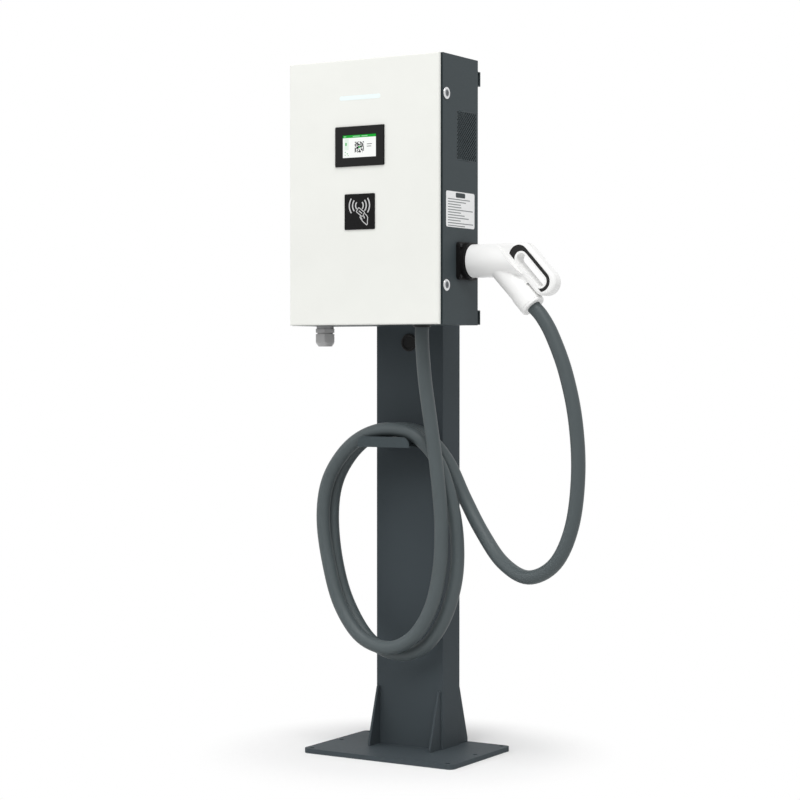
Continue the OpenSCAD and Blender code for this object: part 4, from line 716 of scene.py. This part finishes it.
class CHARGER_OT_cabinet(bpy.types.Operator):
    """Casing, its back, rain rim and vents"""

    bl_idname = "charger.cabinet"
    bl_label = "Cabinet"

    def execute(self, context):
        for node, width in (("casing", 0.6), ("casing_back", 0.3), ("casing_rim", 0.4),
                            ("vent_grille_right", 0), ("vent_grille_left", 0)):
            dress(node, width)
        return {"FINISHED"}


class CHARGER_OT_door(bpy.types.Operator):
    """Door, its seal, hinges and hooks"""

    bl_idname = "charger.door"
    bl_label = "Door"

    def execute(self, context):
        for node, width in (("door_panel", 0.4), ("door_seal", 1.2), ("door_hinge_leaves", 0.4),
                            ("hinge_brackets", 0.4), ("hinge_pins", 0.3), ("door_keepers", 0.4)):
            dress(node, width)
        return {"FINISHED"}


class CHARGER_OT_display(bpy.types.Operator):
    """Display with its bezel, glass, lit picture and board"""

    bl_idname = "charger.display"
    bl_label = "Display"
    # Picture of a 4.3-inch panel, and the thickness of what is drawn on it, in mm
    width, height, film = 95.0, 53.9, 0.1
    # Dots: their square's side as a share of the picture's height, its middle from the picture's top left
    code_side, code_across, code_down = 0.485, 0.495, 0.545
    # Share of the dots that are dark, and the seed that picks them
    code_share, code_seed = 0.52, 11
    # Bars: where the first starts, as shares from the picture's top left
    bars_across, bars_down = 0.72, 0.43
    # Dots and bars stand this far off the glass to their middle, in mm
    print_proud = 0.2

    def execute(self, context):
        dress("display_bezel", 0.8, 3)
        dress("display_screen", 0.3)
        dress("display_board", 0.2)
        low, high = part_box("display_screen")
        self.left = (low.x + high.x) / 2 / MM - self.width / 2
        self.top = (low.z + high.z) / 2 / MM + self.height / 2
        self.face = low.y / MM
        self.plates("picture_ground", "screen_white", 0.1, ((0, 0, 1, 1),))
        self.plates("picture_header", "screen_header", 0.2, ((0, 0, 1, 0.12),))
        self.plates("picture_panel", "screen_panel", 0.2, ((0.05, 0.16, 0.175, 0.66),))
        self.plates("picture_marks", "screen_mark", 0.3,
                    ((0.075, 0.33, 0.115, 0.46), (0.47, 0.51, 0.52, 0.58), (0.06, 0.73, 0.085, 0.77),
                     (0.12, 0.8, 0.15, 0.84), (0.06, 0.86, 0.08, 0.9), (0.15, 0.88, 0.17, 0.92)))
        self.plates("picture_dashes", "screen_pale", 0.3,
                    ((0.03, 0.04, 0.1, 0.08), (0.3, 0.04, 0.52, 0.08), (0.56, 0.04, 0.74, 0.08)))
        self.code()
        self.lines()
        return {"FINISHED"}

    def plates(self, name, finish, proud, spans):
        """Thin lit tiles on the glass, each span given as shares of the picture from its top left."""
        bm = bmesh.new()
        for x0, z0, x1, z1 in spans:
            tile(bm, self.left + x0 * self.width, self.left + x1 * self.width,
                 self.face - proud, self.face - proud + self.film,
                 self.top - z1 * self.height, self.top - z0 * self.height)
        piece(name, finished(bm, name), "door", finish)

    def on_picture(self, across, down):
        """Turns a flat pattern to the front, with its origin at shares of the picture from its top left."""
        return on_front(self.left + across * self.width, self.face - self.print_proud,
                        self.top - down * self.height)

    def code(self):
        """A square of random dots that reads as a code and holds none."""
        cells = sizes().code_cells
        side = self.code_side * self.height
        mesh = grown(dot_code_tree(), {
            "Cells": cells, "Cell Size": side / cells * MM, "Thickness": self.film * MM,
            "Share": self.code_share, "Seed": self.code_seed, "Finish": bpy.data.materials["screen_dark"]})
        mesh.transform(self.on_picture(self.code_across, self.code_down))
        piece("picture_dots", mesh, "door")

    def lines(self):
        """Two rows of short plain bars to the right of the dots."""
        mesh = grown(rules_tree(), {
            "Rows": 2, "Pitch": 5.4 * MM, "Shortest": 12 * MM, "Longest": 15 * MM, "Height": 1.5 * MM,
            "Thickness": self.film * MM, "Seed": 4, "Finish": bpy.data.materials["screen_dark"]})
        mesh.transform(self.on_picture(self.bars_across, self.bars_down))
        piece("picture_bars", mesh, "door")


class CHARGER_OT_reader(bpy.types.Operator):
    """Card reader with its printed sign and board"""

    bl_idname = "charger.reader"
    bl_label = "Card reader"
    # Widths of the sign's lines, and how far they stand off the plate, in mm
    wave_line, card_line, chip_line, hand_line, finger_line = 3.2, 2.0, 2.4, 2.1, 2.6
    proud = 0.12
    # Waves: radius and half angle of each arc, and their middle above the plate's
    waves = ((10.9, 47), (19.5, 41), (28.8, 37))
    wave_up = 14.5
    # Card: width, height and corner, the turn that the hand gives it, and its middle
    card_size, card_turn, card_middle = (21.4, 12.2, 1.5), math.radians(-36), (3.0, -1.2)
    chip = ((-1.5, 1.8), (7.5, -4.7))
    # Hand: its outline from the card's right end round to its left, then the thumb and a finger
    hand = ((15.6, -5.5), (20.0, -9.0), (23.6, -14.2), (22.6, -25.0), (23.4, -29.4), (20.4, -32.6),
            (10.6, -24.8), (4.2, -17.8), (1.6, -13.6), (3.0, -9.5))
    fingers = (((10.4, -8.6), (12.8, -12.0), (14.6, -16.8)), ((3.6, -13.2), (7.8, -20.0)))

    def execute(self, context):
        dress("reader_plate", 0.8, 3)
        dress("reader_board", 0.2)
        low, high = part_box("reader_plate")
        mid = Vector(((low.x + high.x) / 2, low.y, (low.z + high.z) / 2)) / MM

        def place(p, depth):
            return Vector((mid.x + p[0], mid.y - self.proud * depth, mid.z + p[1])) * MM

        bm = bmesh.new()
        for way in (0, 180):
            for radius, half in self.waves:
                arc = [math.radians(way + half * (k / 8 - 1)) for k in range(17)]
                line = [(radius * math.cos(a), self.wave_up + radius * math.sin(a)) for a in arc]
                stroke(bm, line, self.wave_line, False, place)
        turn = Matrix.Rotation(self.card_turn, 2)
        card = [turn @ Vector(p) + Vector(self.card_middle) for p in rounded_tile(*self.card_size, 3)]
        stroke(bm, card, self.card_line, True, place)
        stroke(bm, self.chip, self.chip_line, False, place)
        stroke(bm, self.hand, self.hand_line, False, place)
        for finger in self.fingers:
            stroke(bm, finger, self.finger_line, False, place)
        outward(bm)
        piece("reader_sign", finished(bm, "reader_sign"), "door", "print_grey")
        return {"FINISHED"}


class CHARGER_OT_status_light(bpy.types.Operator):
    """Lit bar at the top of the door"""

    bl_idname = "charger.status_light"
    bl_label = "Status light"

    def execute(self, context):
        dress("light_guide", 0.4, 3)
        return {"FINISHED"}


class CHARGER_OT_locks(bpy.types.Operator):
    """Two key locks with their nuts and tongues"""

    bl_idname = "charger.locks"
    bl_label = "Locks"

    def execute(self, context):
        for node, width in (("lock_bodies", 0.8), ("lock_nuts", 0.4), ("lock_cam_upper", 0.4),
                            ("lock_cam_lower", 0.4)):
            dress(node, width, 3)
        for node in ("lock_core_upper", "lock_core_lower"):
            dress(node, 0.3, 3, "satin_nickel")
        return {"FINISHED"}


class CHARGER_OT_holster(bpy.types.Operator):
    """Holster of the connector and its screws"""

    bl_idname = "charger.holster"
    bl_label = "Holster"

    def execute(self, context):
        dress("holster", 0.9, 3)
        dress("holster_screws", 0.4)
        return {"FINISHED"}


class CHARGER_OT_glands(bpy.types.Operator):
    """Supply gland and the bush of the charging cable"""

    bl_idname = "charger.glands"
    bl_label = "Gland and bush"

    def execute(self, context):
        for node, width in (("gland_body", 0.3), ("gland_locknut", 0.5), ("gland_seal", 0.5),
                            ("gland_cap", 0.6), ("cable_bush", 0.8)):
            dress(node, width)
        return {"FINISHED"}


class CHARGER_OT_side_label(bpy.types.Operator):
    """Plain ruled plate on the cabinet's right side"""

    bl_idname = "charger.side_label"
    bl_label = "Side label"
    # Middle of the plate, its corners and the thickness of its film, in mm
    mid_y, mid_z, corner, film = -109.0, 1336.5, 5.0, 0.2
    # Heading: share of the plate's width, height, corners, and its middle under the plate's top
    heading_share, heading_height, heading_corner, heading_down = 0.33, 11.5, 3.5, 8.2
    # Rules: count, pitch, height and thickness, and the first one under the plate's top
    rows, pitch, rule_height, rule_film, rules_down = 11, 6.3, 2.2, 0.1, 18.5
    # Rules' shortest and longest, and their start left of the middle, as shares of the plate's width
    shortest, longest, rules_left = 0.42, 0.9, 0.44

    def execute(self, context):
        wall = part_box("casing")[1].x / MM
        width, height = sizes().label_width / MM, sizes().label_height / MM

        def on_wall(proud):
            return lambda p, depth: Vector((wall + proud + self.film * depth,
                                            self.mid_y + p[0], self.mid_z + p[1])) * MM

        bm = bmesh.new()
        slab(bm, rounded_tile(width, height, self.corner), on_wall(0))
        outward(bm)
        piece("side_label", finished(bm, "side_label"), "post", "label_film")
        bm = bmesh.new()
        pill = rounded_tile(self.heading_share * width, self.heading_height, self.heading_corner)
        slab(bm, [(x, z + height / 2 - self.heading_down) for x, z in pill], on_wall(self.film / 2))
        outward(bm)
        piece("side_label_heading", finished(bm, "side_label_heading"), "post", "label_dark")
        mesh = grown(rules_tree(), {
            "Rows": self.rows, "Pitch": self.pitch * MM, "Shortest": self.shortest * width * MM,
            "Longest": self.longest * width * MM, "Height": self.rule_height * MM,
            "Thickness": self.rule_film * MM, "Seed": 7, "Finish": bpy.data.materials["label_rule"]})
        mesh.transform(on_right(wall + self.film + self.rule_film / 2, self.mid_y - self.rules_left * width,
                                self.mid_z + height / 2 - self.rules_down))
        piece("side_label_rules", mesh, "post")
        return {"FINISHED"}


class CHARGER_OT_devices(bpy.types.Operator):
    """What the cabinet holds: plate, power module, fan, boards and rail devices"""

    bl_idname = "charger.devices"
    bl_label = "Inside devices"

    def execute(self, context):
        for node, width in (("component_plate", 0.4), ("power_module", 0.4), ("fan_frame", 0.6),
                            ("fan_rotor", 0.2), ("control_board", 0.2), ("din_rail", 0.2),
                            ("breaker_body", 0.5), ("breaker_lever", 0.4), ("contactor", 0.5),
                            ("energy_meter", 0.6), ("aux_supply", 0.5), ("terminal_block", 0.4)):
            dress(node, width)
        return {"FINISHED"}


OPERATORS = (
    CHARGER_OT_stage, CHARGER_OT_connector, CHARGER_OT_cable, CHARGER_OT_steelwork, CHARGER_OT_cabinet,
    CHARGER_OT_door, CHARGER_OT_display, CHARGER_OT_reader, CHARGER_OT_status_light, CHARGER_OT_locks,
    CHARGER_OT_holster, CHARGER_OT_glands, CHARGER_OT_side_label, CHARGER_OT_devices,
)


class CHARGER_PT_sidebar(bpy.types.Panel):
    """Buttons and values of the charging post"""

    bl_idname = "CHARGER_PT_sidebar"
    bl_label = "Charging Post"
    bl_space_type = "VIEW_3D"
    bl_region_type = "UI"
    bl_category = "Charging Post"

    def draw(self, context):
        for operator in OPERATORS:
            self.layout.operator(operator.bl_idname)
        for group in (context.scene.charger_sizes, context.scene.charger_colours):
            box = self.layout.box()
            for name in group.__annotations__:
                box.prop(group, name)


CLASSES = (ChargerColours, ChargerSizes) + OPERATORS + (CHARGER_PT_sidebar,)


def register():
    """Registers the classes, and puts the colours and sizes on the scene."""
    for cls in CLASSES:
        bpy.utils.register_class(cls)
    bpy.types.Scene.charger_colours = PointerProperty(type=ChargerColours)
    bpy.types.Scene.charger_sizes = PointerProperty(type=ChargerSizes)


def unregister():
    """Takes the colours, sizes and classes away again."""
    del bpy.types.Scene.charger_sizes
    del bpy.types.Scene.charger_colours
    for cls in reversed(CLASSES):
        bpy.utils.unregister_class(cls)


def main():
    """Registers the classes, makes the finishes and builds every piece in order."""
    register()
    make_finishes()
    bpy.ops.charger.stage()
    bpy.ops.charger.connector()
    bpy.ops.charger.cable()
    bpy.ops.charger.steelwork()
    bpy.ops.charger.cabinet()
    bpy.ops.charger.door()
    bpy.ops.charger.display()
    bpy.ops.charger.reader()
    bpy.ops.charger.status_light()
    bpy.ops.charger.locks()
    bpy.ops.charger.holster()
    bpy.ops.charger.glands()
    bpy.ops.charger.side_label()
    bpy.ops.charger.devices()


if __name__ == "__main__":
    main()
